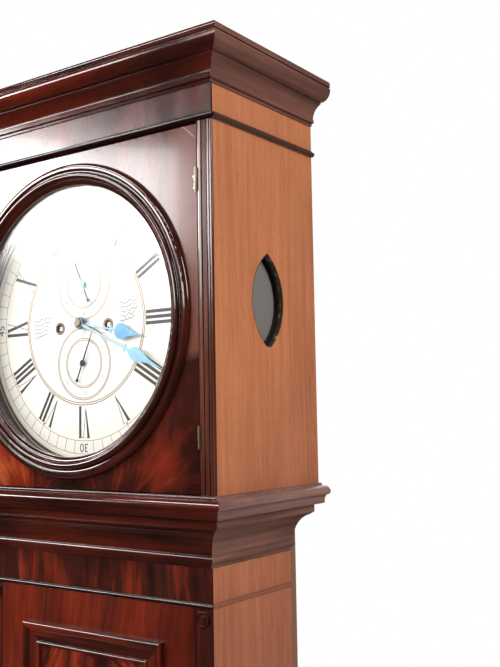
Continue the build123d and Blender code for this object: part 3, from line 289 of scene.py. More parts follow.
def moulding_wood(node, seed, side_tint=(1.0, 1.0, 1.0)):
    """Straight dark mahogany, grain along the moulding: glossy in front, dull on the sides."""
    shader = Shader(f"mahogany_{node}")
    x, y, z = shader.split()
    ahead = shader.minus(shader.times(y, -1), shader.absolute(x))
    on_side = shader.below(ahead, mitre(node))
    length = shader.plus(x, y)
    depth = shader.plus(z, shader.mix(on_side, y, shader.absolute(x)))
    figure = streaks(shader, (depth, 150), (length, 5), seed)
    front = shader.ramp(figure, (0.25, DARK), (0.5, UMBER), (0.8, DEEP_RED), (1.0, RED))
    side = shader.ramp(figure, *zip((0.2, 0.6, 1.0), MOULDING_SIDE))
    fleck = pores(shader, (depth, 1400), (length, 90), seed)
    # Painted shade in the moulding's hollows, full on its front and lighter on its sides
    hollow_shade = shader.quirks(reach=25 * MM)
    front = shader.shade(front, hollow_shade)
    side = shader.shade(shader.shade(side, side_tint), hollow_shade, 0.75)
    colour = shader.shade(shader.mix(on_side, front, side), fleck, 0.5)
    return polish(shader, colour, fleck, seed, coat=0.0, dull=on_side)


def upright_wood(name, seed, tones=(DARK, UMBER, RED)):
    """Polished mahogany with its grain upright, for stiles and reeds."""
    shader = Shader(name)
    x, y, z = shader.split()
    side = shader.plus(x, y)
    figure = streaks(shader, (side, 130), (z, 4), seed)
    colour = shader.ramp(figure, *zip((0.25, 0.55, 0.85), tones))
    fleck = pores(shader, (side, 1400), (z, 80), seed)
    # Pores, then painted shade in the hollows between the reeds
    colour = shader.shade(shader.shade(colour, fleck, 0.5), shader.quirks(0.12))
    return polish(shader, colour, fleck, seed, (0.13, 0.20))


def framed_wood(name, seed, frame_box):
    """Dark mahogany for a mitred panel moulding, with the grain along each of its four lengths."""
    shader = Shader(name)
    x, y, z = shader.split()
    low, high = frame_box
    to_side = shader.minus(high.x, shader.absolute(x))
    to_end = shader.math("MINIMUM", shader.minus(high.z, z), shader.minus(z, low.z))
    level = shader.below(to_end, to_side)
    across = shader.plus(shader.math("MINIMUM", to_end, to_side), y)
    along = shader.mix(level, z, x)
    figure = streaks(shader, (across, 130), (along, 4), seed)
    colour = shader.ramp(figure, (0.25, DARK), (0.5, UMBER), (0.8, RED))
    fleck = pores(shader, (across, 1400), (along, 80), seed)
    # Pores, then painted shade in the hollows of the panel moulding
    colour = shader.shade(shader.shade(colour, fleck, 0.5), shader.quirks())
    return polish(shader, colour, fleck, seed)


def turned_wood(name, seed):
    """Polished ring: grain of joined segments that follows the ring round."""
    shader = Shader(name)
    x, y, z = shader.split()
    rise = shader.minus(z, RING.z)
    angle = shader.math("ARCTAN2", rise, x)
    radius = distance(shader, x, rise)
    figure = streaks(shader, (shader.plus(radius, y), 170), (angle, 1.6), seed)
    colour = shader.ramp(figure, (0.2, DARK), (0.6, UMBER), (1.0, DEEP_RED))
    fleck = pores(shader, (radius, 1300), (angle, 14), seed)
    # Pores, then painted shade in the hollows of the ring
    colour = shader.shade(shader.shade(colour, fleck, 0.4), shader.quirks())
    return polish(shader, colour, fleck, seed, (0.10, 0.17))


def panelled_wood(name, seed, panel, pitch):
    """Even red veneer with fine upright streaks, and livelier flame inside its panel moulding."""
    shader = Shader(name)
    x, _, z = shader.split()
    high = panel[1]
    wobble = shader.cloud(6, (seed, 2, 0), detail=3)
    bent = shader.times_plus(wobble, 0.05, x)
    fine = streaks(shader, (bent, pitch), (z, 7), seed)
    arch = shader.times(shader.times(x, x), 14)
    rise = shader.plus(shader.times(wobble, 0.16), shader.plus(z, arch))
    flame = streaks(shader, (rise, 0.45 * pitch), (x, 30), seed)
    inside_x = shader.below(shader.absolute(x), high.x - PANEL_BAND)
    inside_z = shader.below(z, high.z - PANEL_BAND)
    inside = shader.times(inside_x, inside_z)
    plain = shader.ramp(fine, (0.1, UMBER), (0.45, DEEP_RED), (0.75, RED), (1.0, FLAME))
    lively = shader.ramp(flame, (0.15, DARK), (0.4, UMBER), (0.62, RED), (0.95, FLAME))
    colour = shader.mix(inside, plain, lively)
    # Painted shade: darker towards the right edge, beside the panel moulding and past it
    colour = shader.shade(colour, shader.ramp(x, (0.10, 1.0), (0.14, 0.55)))
    return veneer(shader, colour, x, z, seed, (0.13, 0.24), 0.15)


def streaked_wood(name, seed, pitch, tones, board, case_side, bead_side):
    """Frieze veneer with upright flame streaks; its bead is dark and glossy, dull on the sides."""
    shader = Shader(name)
    x, y, z = shader.split()
    wobble = shader.cloud(7, (seed, 1, 0), detail=2)
    bent = shader.times_plus(wobble, 0.03, x)
    figure = streaks(shader, (bent, pitch), (z, 9), seed)
    low, middle_tone, high, top = tones
    colour = shader.ramp(figure, (0.2, low), (0.48, middle_tone), (0.74, high), (1.0, top))
    proud = shader.below(y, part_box(board)[0].y - SLACK)
    aside = shader.above(shader.absolute(x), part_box(case_side)[1].x + SLACK)
    colour = shader.mix(proud, colour, DARK)
    colour = shader.mix(shader.times(aside, shader.minus(1, proud)), colour, bead_side)
    # Painted shade in the hollows round the bead
    colour = shader.shade(colour, shader.quirks(0.25, 5 * MM))
    return veneer(shader, colour, x, z, seed, *HAZY, dull=shader.times(proud, -0.35))


def hood_door_wood(name, seed):
    """Hood door veneer: upright streaks above, and below a seam a glowing fan in each corner."""
    shader = Shader(name)
    x, _, z = shader.split()
    rise = shader.minus(z, RING.z)
    out = shader.absolute(x)
    fan_x = shader.minus(out, FAN[0])
    fan_z = shader.plus(rise, FAN[1])
    wobble = shader.cloud(16, (seed, 3, 0), detail=3)
    angle = shader.times_plus(wobble, 0.5, shader.math("ARCTAN2", fan_z, fan_x))
    radius = distance(shader, fan_x, fan_z)
    ray = shader.times_plus(radius, -16, shader.times(angle, 9))
    fan = streaks(shader, (ray, 1), (radius, 12), seed, 0.75)
    glow = distance(shader, shader.minus(out, GLOW[0]), shader.plus(rise, GLOW[1]))
    core = shader.ramp(glow, (0.0, 0.17), (0.045, 0.11), (0.085, 0.0))
    left = shader.plus(x, LEFT_GLOW[0]), shader.plus(rise, LEFT_GLOW[1])
    left_glow = distance(shader, *left)
    left_core = shader.ramp(left_glow, (0.0, 0.36), (0.04, 0.24), (0.085, 0.0))
    fan = shader.plus(shader.times(fan, 0.8), shader.plus(core, left_core))
    upright = streaks(shader, (x, 55), (rise, 4), seed + 9)
    seam = shader.times_plus(out, SEAM_SLOPE, SEAM_DROP)
    above = shader.ramp(shader.plus(rise, seam), (0.0, 0.0), (0.012, 1.0))
    fan_colour = shader.ramp(fan, (0.14, DARK), (0.38, UMBER), (0.62, RED), (0.95, FLAME))
    corner = shader.ramp(shader.times(rise, -1), (0.115, 0.0), (0.15, 1.0))
    fan_colour = shader.shade(fan_colour, shader.ramp(x, (0.145, 1.0), (0.185, 0.5)), corner)
    top_colour = shader.ramp(upright, (0.2, DARK), (0.5, UMBER), (0.85, DEEP_RED))
    top_colour = shader.mix(shader.ramp(out, (0.155, 0.0), (0.192, 0.5)), top_colour, EDGE_BROWN)
    colour = shader.mix(above, fan_colour, top_colour)
    return veneer(shader, colour, x, z, seed, (0.11, 0.19), HAZY[1], fine=110)


def side_wood(name, seed):
    """Plain straight-grained mahogany of the sides, satin; painted shade makes it darker and
    browner low down and at the back.
    """
    shader = Shader(name)
    _, y, z = shader.split()
    wobble = shader.cloud((2, 2, 1.2), (seed, 1, 0), detail=1)
    bent = shader.times_plus(wobble, 0.015, y)
    fine = streaks(shader, (bent, 620), (z, 7), seed, 0.7)
    slow = streaks(shader, (bent, 60), (z, 1.6), seed + 5, 0.8)
    figure = shader.times_plus(fine, 0.7, shader.times(slow, 0.3))
    colour = shader.ramp(figure, (0.2, SIDE_DARK), (0.5, SIDE_MID), (0.85, SIDE_PALE))
    # Painted shade: darker and browner lower down and further back
    height = shader.times_plus(y, -1.1, z)
    shade = shader.ramp(shader.times(height, 0.5), (0.55, (0.57, 0.55, 0.84)), (0.9, 1.0))
    colour = shader.shade(colour, shade)
    fleck = pores(shader, (y, 1700), (z, 75), seed)
    colour = shader.shade(colour, fleck, 0.55)
    cloud = shader.cloud((9, 9, 5), (0, seed, 0), detail=3)
    patchy = shader.ramp(cloud, (0.35, (0.90, 0.89, 0.90)), (0.65, (1.05, 1.05, 1.0)))
    colour = shader.shade(colour, patchy)
    place = shader.join(shader.times(y, 420), shader.times(z, 26), seed)
    dark_line = shader.noise(place, detail=1)
    colour = shader.shade(colour, shader.ramp(dark_line, (0.68, 1.0), (0.76, 0.72)))
    normal = shader.bump(fleck, 0.1 * MM, 0.4, shader.soft_edges())
    dull = shader.ramp(figure, (0.2, 0.42), (0.8, 0.5))
    return shader.finish(colour, dull, normal, Coat_Weight=0.12, Coat_Roughness=0.3)


def pine(name, seed, tint=(0.30, 0.175, 0.088), axis="z", stained_edge=False, board=0.148):
    """Bare softwood boards, darkened by age, with growth lines that flow round knots."""
    shader = Shader(name)
    x, y, z = shader.split()
    long, wide = (z, x) if axis == "z" else (x, y)
    count = shader.times_plus(wide, 1 / board, 0.5)
    number = shader.math("FLOOR", count)
    along = shader.times_plus(number, 0.37, long)
    place = shader.join(shader.times(wide, 7), along, seed)
    knots = shader.node("ShaderNodeTexVoronoi", {"Vector": place, "Scale": 2.4})
    near = knots.outputs["Distance"]
    wobble = shader.cloud((3, 3, 1.5), (seed, 0, 4), detail=2)
    flow = shader.ramp(near, (0.0, 1.0), (0.3, 0.0))
    bent = shader.times_plus(wobble, 0.02, shader.plus(wide, shader.times(y, 0.3)))
    bent = shader.times_plus(flow, 0.012, bent)
    figure = streaks(shader, (bent, 150), (along, 1.6), seed, 1.3)
    deep = tuple(0.6 * level for level in tint)
    pale = tuple(1.2 * level for level in tint)
    colour = shader.ramp(figure, (0.15, deep), (0.5, tint), (0.85, pale))
    lines = shader.noise(shader.join(shader.times(bent, 620), along, seed), 1, detail=2)
    colour = shader.shade(colour, shader.ramp(lines, (0.4, 0.72), (0.55, 1.0)))
    tone = shader.noise(shader.join(number, seed, 0.5), 3.3, detail=0)
    colour = shader.shade(colour, shader.ramp(tone, (0.3, 0.8), (0.7, 1.08)))
    stain = shader.cloud((4, 4, 3), (seed, 7, 0), detail=4)
    colour = shader.shade(colour, shader.ramp(stain, (0.35, 0.45), (0.65, 1.0)), 0.4)
    colour = shader.mix(shader.ramp(near, (0.045, 0.85), (0.075, 0.0)), colour, KNOT)
    edge = shader.math("PINGPONG", count, 0.5)
    colour = shader.mix(shader.below(edge, 0.6 * MM / board), colour, JOINT)
    if stained_edge:
        face = shader.node("ShaderNodeNewGeometry").outputs["True Normal"]
        sideways = shader.absolute(shader.split(face)[0])
        colour = shader.mix(shader.above(sideways, 0.6), colour, STAINED)
    normal = shader.bump(figure, 0.3 * MM, 0.5, shader.soft_edges(0.8 * MM))
    return shader.finish(colour, 0.78, normal)


# ---- Metals, paint and glass ----
def metal(name, colour, dull, rough, seed, brushed=(60, 60, 60), tip=None):
    """Old metal: brushing, tarnish and soft edges; tip is its colour in front of the dial."""
    shader = Shader(name)
    brush = shader.cloud(brushed, (seed, 0, 0), scale=8, detail=3)
    patch = shader.cloud(30, (0, seed, 0), detail=4)
    tarnish = shader.ramp(patch, (0.42, 0.0), (0.68, 0.8))
    if tip is not None:
        in_front = shader.below(shader.split()[1], DIAL_FACE_Y + 2 * MM)
        colour = shader.mix(in_front, colour, tip)
    base = shader.mix(tarnish, colour, dull)
    roughness = shader.times_plus(patch, 0.25, rough - 0.1)
    normal = shader.bump(brush, 0.03 * MM, 0.3, shader.soft_edges(0.3 * MM))
    return shader.finish(base, roughness, normal, Metallic=1.0)


def blued_steel(name, centre_z, hub, stem, spade):
    """Heat-blued steel hand, its colour changing outwards from the hub to the spade."""
    shader = Shader(name)
    x, _, z = shader.split()
    radius = distance(shader, x, shader.minus(z, centre_z))
    patch = shader.cloud(90, detail=3)
    place = shader.times_plus(patch, 0.008, radius)
    scaled = shader.times(place, 6)
    along = shader.ramp(scaled, (0.05, hub), (0.09, stem), (0.32, stem), (0.40, spade))
    worn = shader.ramp(patch, (0.35, 0.78), (0.7, 1.0))
    colour = shader.shade(along, worn)
    normal = shader.bump(patch, 0.05 * MM, 0.3, shader.soft_edges(0.4 * MM))
    return shader.finish(colour, 0.32, normal, Metallic=0.3)


def dial_paint():
    """Old white dial enamel: faint crazing, yellowed towards the rim."""
    shader = Shader("dial_white")
    x, _, z = shader.split()
    rise = shader.minus(z, DIAL.z)
    radius = distance(shader, x, rise)
    stain = shader.cloud(14, detail=4)
    age = shader.times_plus(stain, 0.35, shader.times(radius, 3.2))
    colour = shader.ramp(age, (0.35, (0.90, 0.89, 0.84)), (0.75, (0.83, 0.79, 0.68)))
    inputs = {"Vector": shader.where, "Scale": 160}
    craze = shader.node("ShaderNodeTexVoronoi", inputs, feature="DISTANCE_TO_EDGE")
    cracks = shader.ramp(craze.outputs["Distance"], (0.0, 0.86), (0.03, 1.0))
    colour = shader.shade(colour, cracks, 0.35)
    normal = shader.bump(stain, 0.1 * MM, 0.2)
    return shader.finish(colour, 0.32, normal, Coat_Weight=0.2, Coat_Roughness=0.1)


def speckled(name, grain, stops, rough, detail=4, lift=0.0, **others):
    """A material of two mingled colours; its specks are raised where lift isn't zero."""
    shader = Shader(name)
    speck = shader.cloud(grain, detail=detail)
    normal = shader.bump(speck, lift, 0.8) if lift else None
    return shader.finish(shader.ramp(speck, *stops), rough, normal, **others)


def paint(name, colour, rough=0.45):
    """Brushed paint, slightly worn and uneven."""
    thin = tuple(min(1, level * 2.2 + 0.01) for level in colour)
    return speckled(name, 220, ((0.5, colour), (0.85, thin)), rough)


def window_glass(name, grey_film, tint=(0.75, 0.75, 0.72)):
    """Old window glass, slightly wavy, with a grey film over it."""
    shader = Shader(name)
    wave = shader.cloud(7, detail=1)
    normal = shader.bump(wave, 0.5 * MM, 0.15)
    clear = shader.node("ShaderNodeBsdfTransparent")
    shine = shader.node("ShaderNodeBsdfGlossy", {"Roughness": 0.15, "Normal": normal})
    film = shader.node("ShaderNodeBsdfDiffuse", {"Color": tint})
    smear = shader.cloud(12, (3, 0, 0), detail=4)
    film_cover = shader.ramp(smear, (0.3, grey_film), (0.8, min(1, 2.2 * grey_film)))
    dusty = mixed(shader.tree, film_cover, clear, film)
    facing = shader.node("ShaderNodeLayerWeight", {"Blend": 0.5})
    grazing = shader.math("POWER", facing.outputs["Facing"], 5)
    both = mixed(shader.tree, shader.times_plus(grazing, 0.96, 0.04), dusty, shine)
    shader.feed(shader.output.inputs["Surface"], both.outputs[0])
    return shader.material


HUB_BLUE = (0.05, 0.16, 0.24)
NIGHT_BLUE = (0.03, 0.05, 0.08)
HOUR_STEM = (0.40, 0.60, 0.70)
HOUR_SPADE = (0.17, 0.42, 0.66)
MINUTE_STEM = (0.46, 0.54, 0.56)
MINUTE_SPADE = (0.34, 0.66, 0.80)
SECONDS_HUB = (0.30, 0.62, 0.74)
BARREL = ((0.70, 0.50, 0.24), (0.30, 0.21, 0.11))      # clean and tarnished
GILT = ((0.35, (0.28, 0.19, 0.08)), (0.7, (0.17, 0.11, 0.05)))
PUTTY = ((0.35, (0.42, 0.32, 0.20)), (0.5, (0.86, 0.82, 0.70)))
GUT = ((0.4, (0.30, 0.19, 0.08)), (0.65, (0.58, 0.42, 0.22)))
PALE_FLOOR = ((0.3, (0.80, 0.80, 0.79)), (0.7, (0.86, 0.86, 0.85)))
ARBOR_STEEL = (0.62, 0.60, 0.56)
BRASS = metal("brass", (0.80, 0.56, 0.24), (0.40, 0.26, 0.11), 0.32, 1.0)
STEEL = metal("steel", (0.42, 0.41, 0.40), (0.20, 0.17, 0.15), 0.38, 2.0)
LEAD_BRASS = metal("weight_brass", (0.66, 0.46, 0.22), (0.26, 0.18, 0.10), 0.4, 3.0, (60, 60, 6))
HINGE_BRASS = metal("hinge_brass", (0.22, 0.17, 0.11), (0.06, 0.045, 0.03), 0.38, 8.0)

FINISHES = {
    "cornice": moulding_wood("cornice", 1.0, (0.86, 0.77, 0.77)),
    "hood_base_moulding": moulding_wood("hood_base_moulding", 4.0, (1.2, 1.4, 1.55)),
    "throat_moulding": moulding_wood("throat_moulding", 7.0),
    "base_moulding": moulding_wood("base_moulding", 10.0),
    "skirting": moulding_wood("skirting", 13.0),
    "hood_frieze": streaked_wood(
        "mahogany_frieze", 16.0, 45, (DARK, UMBER, DEEP_RED, RED),
        "hood_door_frame", "hood_sides", HOOD_BEAD_SIDE,
    ),
    "trunk_frieze": streaked_wood(
        "mahogany_trunk_frieze", 19.0, 85, (DARK, UMBER, RED, FLAME),
        "trunk_door_board", "trunk_sides", TRUNK_BEAD_SIDE,
    ),
    "hood_front_frame": upright_wood("mahogany_reeds", 22.0, (UMBER, BROWN, RUSSET)),
    "trunk_front_frame": upright_wood("mahogany_stiles", 25.0),
    "hood_door_frame": hood_door_wood("mahogany_hood_door", 28.0),
    "dial_ring_moulding": turned_wood("mahogany_ring", 31.0),
    "glass_bead": turned_wood("mahogany_glass_bead", 34.0),
    "trunk_door_board": panelled_wood("mahogany_trunk_door", 37.0, DOOR_PANEL, 120),
    "trunk_door_moulding": framed_wood("mahogany_door_moulding", 40.0, DOOR_PANEL),
    "base_front": panelled_wood("mahogany_base_front", 43.0, BASE_PANEL, 90),
    "base_panel_moulding": framed_wood("mahogany_base_panel", 46.0, BASE_PANEL),
    "hood_sides": side_wood("side_hood", 49.0),
    "trunk_sides": side_wood("side_trunk", 52.0),
    "base_sides": side_wood("side_base", 55.0),
    "backboard": pine("pine_back", 58.0, stained_edge=True),
    "hood_top": pine("pine_top", 61.0, axis="x"),
    "base_floor": pine("pine_floor", 64.0, axis="x"),
    "foot_blocks": pine("pine_blocks", 67.0),
    "seatboard": pine("pine_seatboard", 70.0, axis="x"),
    "dial_surround": pine("surround", 73.0, (0.16, 0.075, 0.035), board=0.9),
    "hood_door_glass": window_glass("glass_door", 0.01),
    # The side glass is mostly covered by its dense grey film
    "hood_side_glasses": window_glass("glass_side", 0.85, (0.165, 0.155, 0.145)),
    "dial": dial_paint(),
    **dict.fromkeys(
        ("dial_feet", "bell_stand", "pendulum_rod", "pallets_and_crutch", "hammer"), STEEL
    ),
    **dict.fromkeys(("going_weight", "strike_weight"), LEAD_BRASS),
    "hour_hand": blued_steel("blued_hour", DIAL.z, HUB_BLUE, HOUR_STEM, HOUR_SPADE),
    "minute_hand": blued_steel("blued_minute", DIAL.z, HUB_BLUE, MINUTE_STEM, MINUTE_SPADE),
    "centre_arbor": metal("hub_brass", (0.30, 0.25, 0.18), (0.12, 0.09, 0.07), 0.4, 9.0),
    "seconds_hand": blued_steel("blued_seconds", SECONDS.z, SECONDS_HUB, *(2 * (NIGHT_BLUE,))),
    "date_hand": metal("dark_blued_steel", (0.030, 0.055, 0.10), (0.012, 0.014, 0.02), 0.3, 5.0),
    "winding_hole_collets": metal("old_brass", (0.20, 0.15, 0.10), (0.07, 0.05, 0.035), 0.38, 7.0),
    "going_barrel": metal("barrel_brass", *BARREL, 0.35, 11.0, tip=ARBOR_STEEL),
    "strike_barrel": metal("barrel_brass_left", *BARREL, 0.35, 12.0, tip=ARBOR_STEEL),
    **dict.fromkeys(
        ("hood_door_hinges", "hood_hinge_leaves", "trunk_door_hinges", "trunk_hinge_leaves"),
        HINGE_BRASS,
    ),
}


def dress_frame():
    """Gives every CAD node its material; what isn't listed is brass."""
    for name, thing in NODES.items():
        thing.data.materials.clear()
        thing.data.materials.append(FINISHES.get(name, BRASS))


# ---- Mesh helpers ----
def solid(name, bm, material):
    """Turns a bmesh into an object with its material."""
    mesh = bpy.data.meshes.new(name)
    bm.to_mesh(mesh)
    bm.free()
    mesh.materials.append(material)
    return placed(name, mesh)


def piece(name, bm, material, body):
    """Makes a piece of the object from a bmesh, with its material and body."""
    bmesh.ops.recalc_face_normals(bm, faces=bm.faces)
    thing = solid(name, bm, material)
    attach(thing, body)
    return thing


def add_prism(bm, corners, y_front, y_back):
    """A flat front-view shape (x, z) with a little thickness."""
    front = [bm.verts.new((x, y_front, z)) for x, z in corners]
    back = [bm.verts.new((x, y_back, z)) for x, z in corners]
    bm.faces.new(front)
    bm.faces.new(reversed(back))
    count = len(corners)
    for index in range(count):
        following = (index + 1) % count
        bm.faces.new((front[index], back[index], back[following], front[following]))


def join_loops(bm, loops):
    """Faces between neighbouring loops of equally many points."""
    for first, second in zip(loops, loops[1:]):
        for index in range(len(first)):
            following = (index + 1) % len(first)
            bm.faces.new((first[index], first[following], second[following], second[index]))


def add_annulus(bm, z, inner, outer, lift=0.0):
    """A flat ring of the dial's paint, with a little thickness."""
    steps = 128
    face = PAINT_FACE - lift
    loops = []
    for radius, y in ((inner, face), (outer, face), (outer, PAINT_BACK), (inner, PAINT_BACK)):
        loop = []
        for step in range(steps):
            angle = 2 * pi * step / steps
            loop.append(bm.verts.new((DIAL.x + radius * cos(angle), y, z + radius * sin(angle))))
        loops.append(loop)
    join_loops(bm, loops + loops[:1])


def add_tube(bm, points, radius, sides=10):
    """A round tube along a list of points, closed at its ends."""
    loops = []
    for index, point in enumerate(points):
        before = points[max(index - 1, 0)]
        after = points[min(index + 1, len(points) - 1)]
        along = (after - before).normalized()
        side = along.cross(Vector((0, 1, 0)))
        if side.length < 0.1:
            side = along.cross(Vector((1, 0, 0)))
        side.normalize()
        up = along.cross(side)
        loop = []
        for step in range(sides):
            angle = 2 * pi * step / sides
            loop.append(bm.verts.new(point + radius * (cos(angle) * side + sin(angle) * up)))
        loops.append(loop)
    join_loops(bm, loops)
    bm.faces.new(loops[0])
    bm.faces.new(reversed(loops[-1]))


# ---- Dial painting ----
PAINT_BACK = DIAL_FACE_Y + 0.02 * MM
PAINT_FACE = DIAL_FACE_Y - 0.10 * MM
NUMERAL_IN = 102 * MM
NUMERAL_OUT = 140 * MM
THICK = 4.0 * MM
THIN = 0.8 * MM
LETTER_WIDTHS = {"I": 6.6 * MM, "V": 13 * MM, "X": 14.5 * MM}
TRACK_IN = 143.7 * MM
TRACK_OUT = 159.5 * MM
SERIF = 1.3 * MM            # past each side of its stroke
HAIRLINE = 0.35 * MM        # half the thickness of a serif
SMALL_RADIUS = 36 * MM      # of the numbers of the seconds and date dials
SMALL_TALL = 5.6 * MM
QUARTER_TALL = 10.5 * MM


def radial(clock_deg):
    """Functions that turn (across, out) at a clock angle into dial (x, z)."""
    turn = radians(clock_deg)
    return lambda across, out: (
        DIAL.x + out * sin(turn) + across * cos(turn),
        DIAL.z + out * cos(turn) - across * sin(turn),
    )


def numeral_strokes(numeral):
    """The strokes of a Roman numeral, each a polygon in (across, out), read from the centre."""
    strokes = []
    left = -sum(LETTER_WIDTHS[letter] for letter in numeral) / 2
    low, high = NUMERAL_IN, NUMERAL_OUT
    for letter in numeral:
        centre = left + LETTER_WIDTHS[letter] / 2
        if letter == "I":
            strokes.append(bar(centre, centre, THICK, low, high))
            strokes += [serif(centre, THICK, end) for end in (low, high)]
        elif letter == "V":
            top = 4.4 * MM
            strokes += [
                [
                    (centre - top - THICK / 2, high),
                    (centre - top + THICK / 2, high),
                    (centre + 0.4 * MM, low + 9 * MM),
                    (centre + 0.2 * MM, low),
                    (centre - 1.0 * MM, low + 7 * MM),
                ],
                bar(centre + 0.1 * MM, centre + top, THIN, low + 1 * MM, high),
                serif(centre - top, THICK, high),
                serif(centre + top, THIN, high),
            ]
        else:
            top = 4.6 * MM
            strokes += [
                bar(centre + top, centre - top, THICK, low, high),
                bar(centre - top, centre + top, THIN, low, high),
            ]
            for end, sign in ((low, 1), (high, -1)):
                strokes.append(serif(centre + sign * top, THICK, end))
                strokes.append(serif(centre - sign * top, THIN, end))
        left += LETTER_WIDTHS[letter]
    return strokes


def bar(low_x, high_x, width, low, high):
    """A straight stroke between two heights."""
    half = width / 2
    return [(low_x - half, low), (low_x + half, low), (high_x + half, high), (high_x - half, high)]


def serif(centre, width, height):
    """A short hairline across the end of a stroke."""
    return bar(centre, centre, width + 2 * SERIF, height - HAIRLINE, height + HAIRLINE)


def painted(name, bm, material):
    """A piece of the dial's painting."""
    piece(name, bm, material, "case")


def dial_numerals():
    """Twelve radial Roman numerals."""
    bm = bmesh.new()
    names = ["XII", "I", "II", "III", "IIII", "V", "VI", "VII", "VIII", "IX", "X", "XI"]
    for hour, numeral in enumerate(names):
        place = radial(30 * hour)
        for depth, stroke in enumerate(numeral_strokes(numeral)):
            lift = 0.002 * MM * depth
            add_prism(bm, [place(*corner) for corner in stroke], PAINT_FACE - lift, PAINT_BACK)
    painted("dial_numerals", bm, paint("black_paint", (0.012, 0.012, 0.014)))


def minute_track():
    """Boxed minutes between two circles, with a wider box at each quarter."""
    bm = bmesh.new()
    line = 0.55 * MM
    for radius in (TRACK_IN, TRACK_OUT):
        add_annulus(bm, DIAL.z, radius - line / 2, radius + line / 2)
    for minute in range(60):
        if minute % 15:
            place = radial(6 * minute)
            corners = [place(*corner) for corner in bar(0, 0, line, TRACK_IN, TRACK_OUT)]
            add_prism(bm, corners, PAINT_FACE - 0.01 * MM, PAINT_BACK)
    for number in range(1, 12):
        if number % 3:
            place = radial(30 * number)
            size = 1.5 * MM
            out = TRACK_IN - 2.2 * MM
            star = [(0, out + size), (size, out), (0, out - size), (-size, out)]
            add_prism(bm, [place(*corner) for corner in star], PAINT_FACE, PAINT_BACK)
    painted("minute_track", bm, paint("track_paint", (0.06, 0.06, 0.065)))


def gold_rings():
    """Double gilt lines round the hours, the seconds and the date, and at the dial's rim."""
    bm = bmesh.new()
    rings = [
        (DIAL.z, 97.0, 98.2), (DIAL.z, 99.5, 100.8),
        (SECONDS.z, 42.0, 42.9), (SECONDS.z, 43.9, 44.8),
        (SECONDS.z, 27.9, 28.8), (SECONDS.z, 29.6, 30.4),
        (DATE_Z, 42.3, 43.3), (DATE_Z, 44.4, 45.5),
        (DATE_Z, 27.7, 28.7), (DATE_Z, 29.8, 30.9),
        (DIAL.z, 166.5, 170.5),
    ]
    for depth, (z, inner, outer) in enumerate(rings):
        add_annulus(bm, z, inner * MM, outer * MM, 0.004 * MM * depth)
    painted("gold_rings", bm, speckled("gilding", 150, GILT, 0.38, Metallic=0.5))


def add_text(bm, text, height, x, z, clock_deg):
    """Numbers drawn flat on the dial, with their tops pointing outwards at a clock angle."""
    curve = bpy.data.curves.new("number", "FONT")
    curve.body = text
    curve.size = height * 1.42      # the size of a font is more than its figures
    curve.align_x = "CENTER"
    curve.align_y = "CENTER"
    curve.extrude = 0.05 * MM
    curve.resolution_u = 3
    maker = placed("number", curve)
    bpy.context.view_layer.update()
    mesh = bpy.data.meshes.new_from_object(maker)
    stand = Matrix.Rotation(radians(90), 4, "X")
    turn = Matrix.Rotation(radians(clock_deg), 4, "Y")
    shift = Matrix.Translation((x, PAINT_FACE + 0.04 * MM, z))
    mesh.transform(shift @ turn @ stand)
    bm.from_mesh(mesh)
    bpy.data.objects.remove(maker)
    bpy.data.curves.remove(curve)
    bpy.data.meshes.remove(mesh)


def dial_numbers():
    """Quarter minutes in the track, tens of seconds, and days of the month."""
    bm = bmesh.new()
    out = (TRACK_IN + TRACK_OUT) / 2
    for quarter, text in enumerate(("60", "15", "30", "45")):
        x, z = radial(90 * quarter)(0, out)
        add_text(bm, text, QUARTER_TALL, x, z, 90 * quarter)
    painted("quarter_numbers", bm, paint("number_paint", (0.03, 0.03, 0.035)))
    bm = bmesh.new()
    marks = [(SECONDS.z, str(10 * step), 60 * step) for step in range(1, 7)]
    marks += [(DATE_Z, str(day), 360 * day / 31) for day in (5, 10, 15, 20, 25, 31)]
    for centre_z, text, turn in marks:
        x = DIAL.x + SMALL_RADIUS * sin(radians(turn))
        z = centre_z + SMALL_RADIUS * cos(radians(turn))
        add_text(bm, text, SMALL_TALL, x, z, turn)
    painted("small_numbers", bm, paint("small_paint", (0.20, 0.21, 0.27)))


PEN_ROWS = 5
PEN_PITCH = 5.2      # mm
PEN_RADIUS = 0.38 * MM


def flourishes():
    """Plain pen flourishes either side of the centre: rows of uneven climbing waves."""
    bm = bmesh.new()
    draw = Random(7)
    for side, low in ((-1, -14), (1, -2)):
        for row in range(PEN_ROWS):
            length = (19 + 2.5 * row + 5 * draw.random()) * MM
            start = (side * 75 - 2 + 4 * draw.random()) * MM - length / 2
            base = DIAL.z + (low + PEN_PITCH * row) * MM
            waves = 1.5 + 2.5 * draw.random()
            size = (0.9 + 0.9 * draw.random()) * MM
            points = []
            for step in range(49):
                share = step / 48
                swing = sin(2 * pi * waves * share) + 0.4 * sin(5.3 * pi * waves * share)
                rise = base + size * swing + 5 * MM * share
                points.append(Vector((start + share * length, PAINT_FACE, rise)))
            add_tube(bm, points, PEN_RADIUS, sides=6)
    painted("dial_flourishes", bm, paint("pen_paint", (0.07, 0.07, 0.085)))


# ---- Small Blender pieces ----
HINGE_RADIUS = 1.8 * MM
CHIP_TALL = 27 * MM


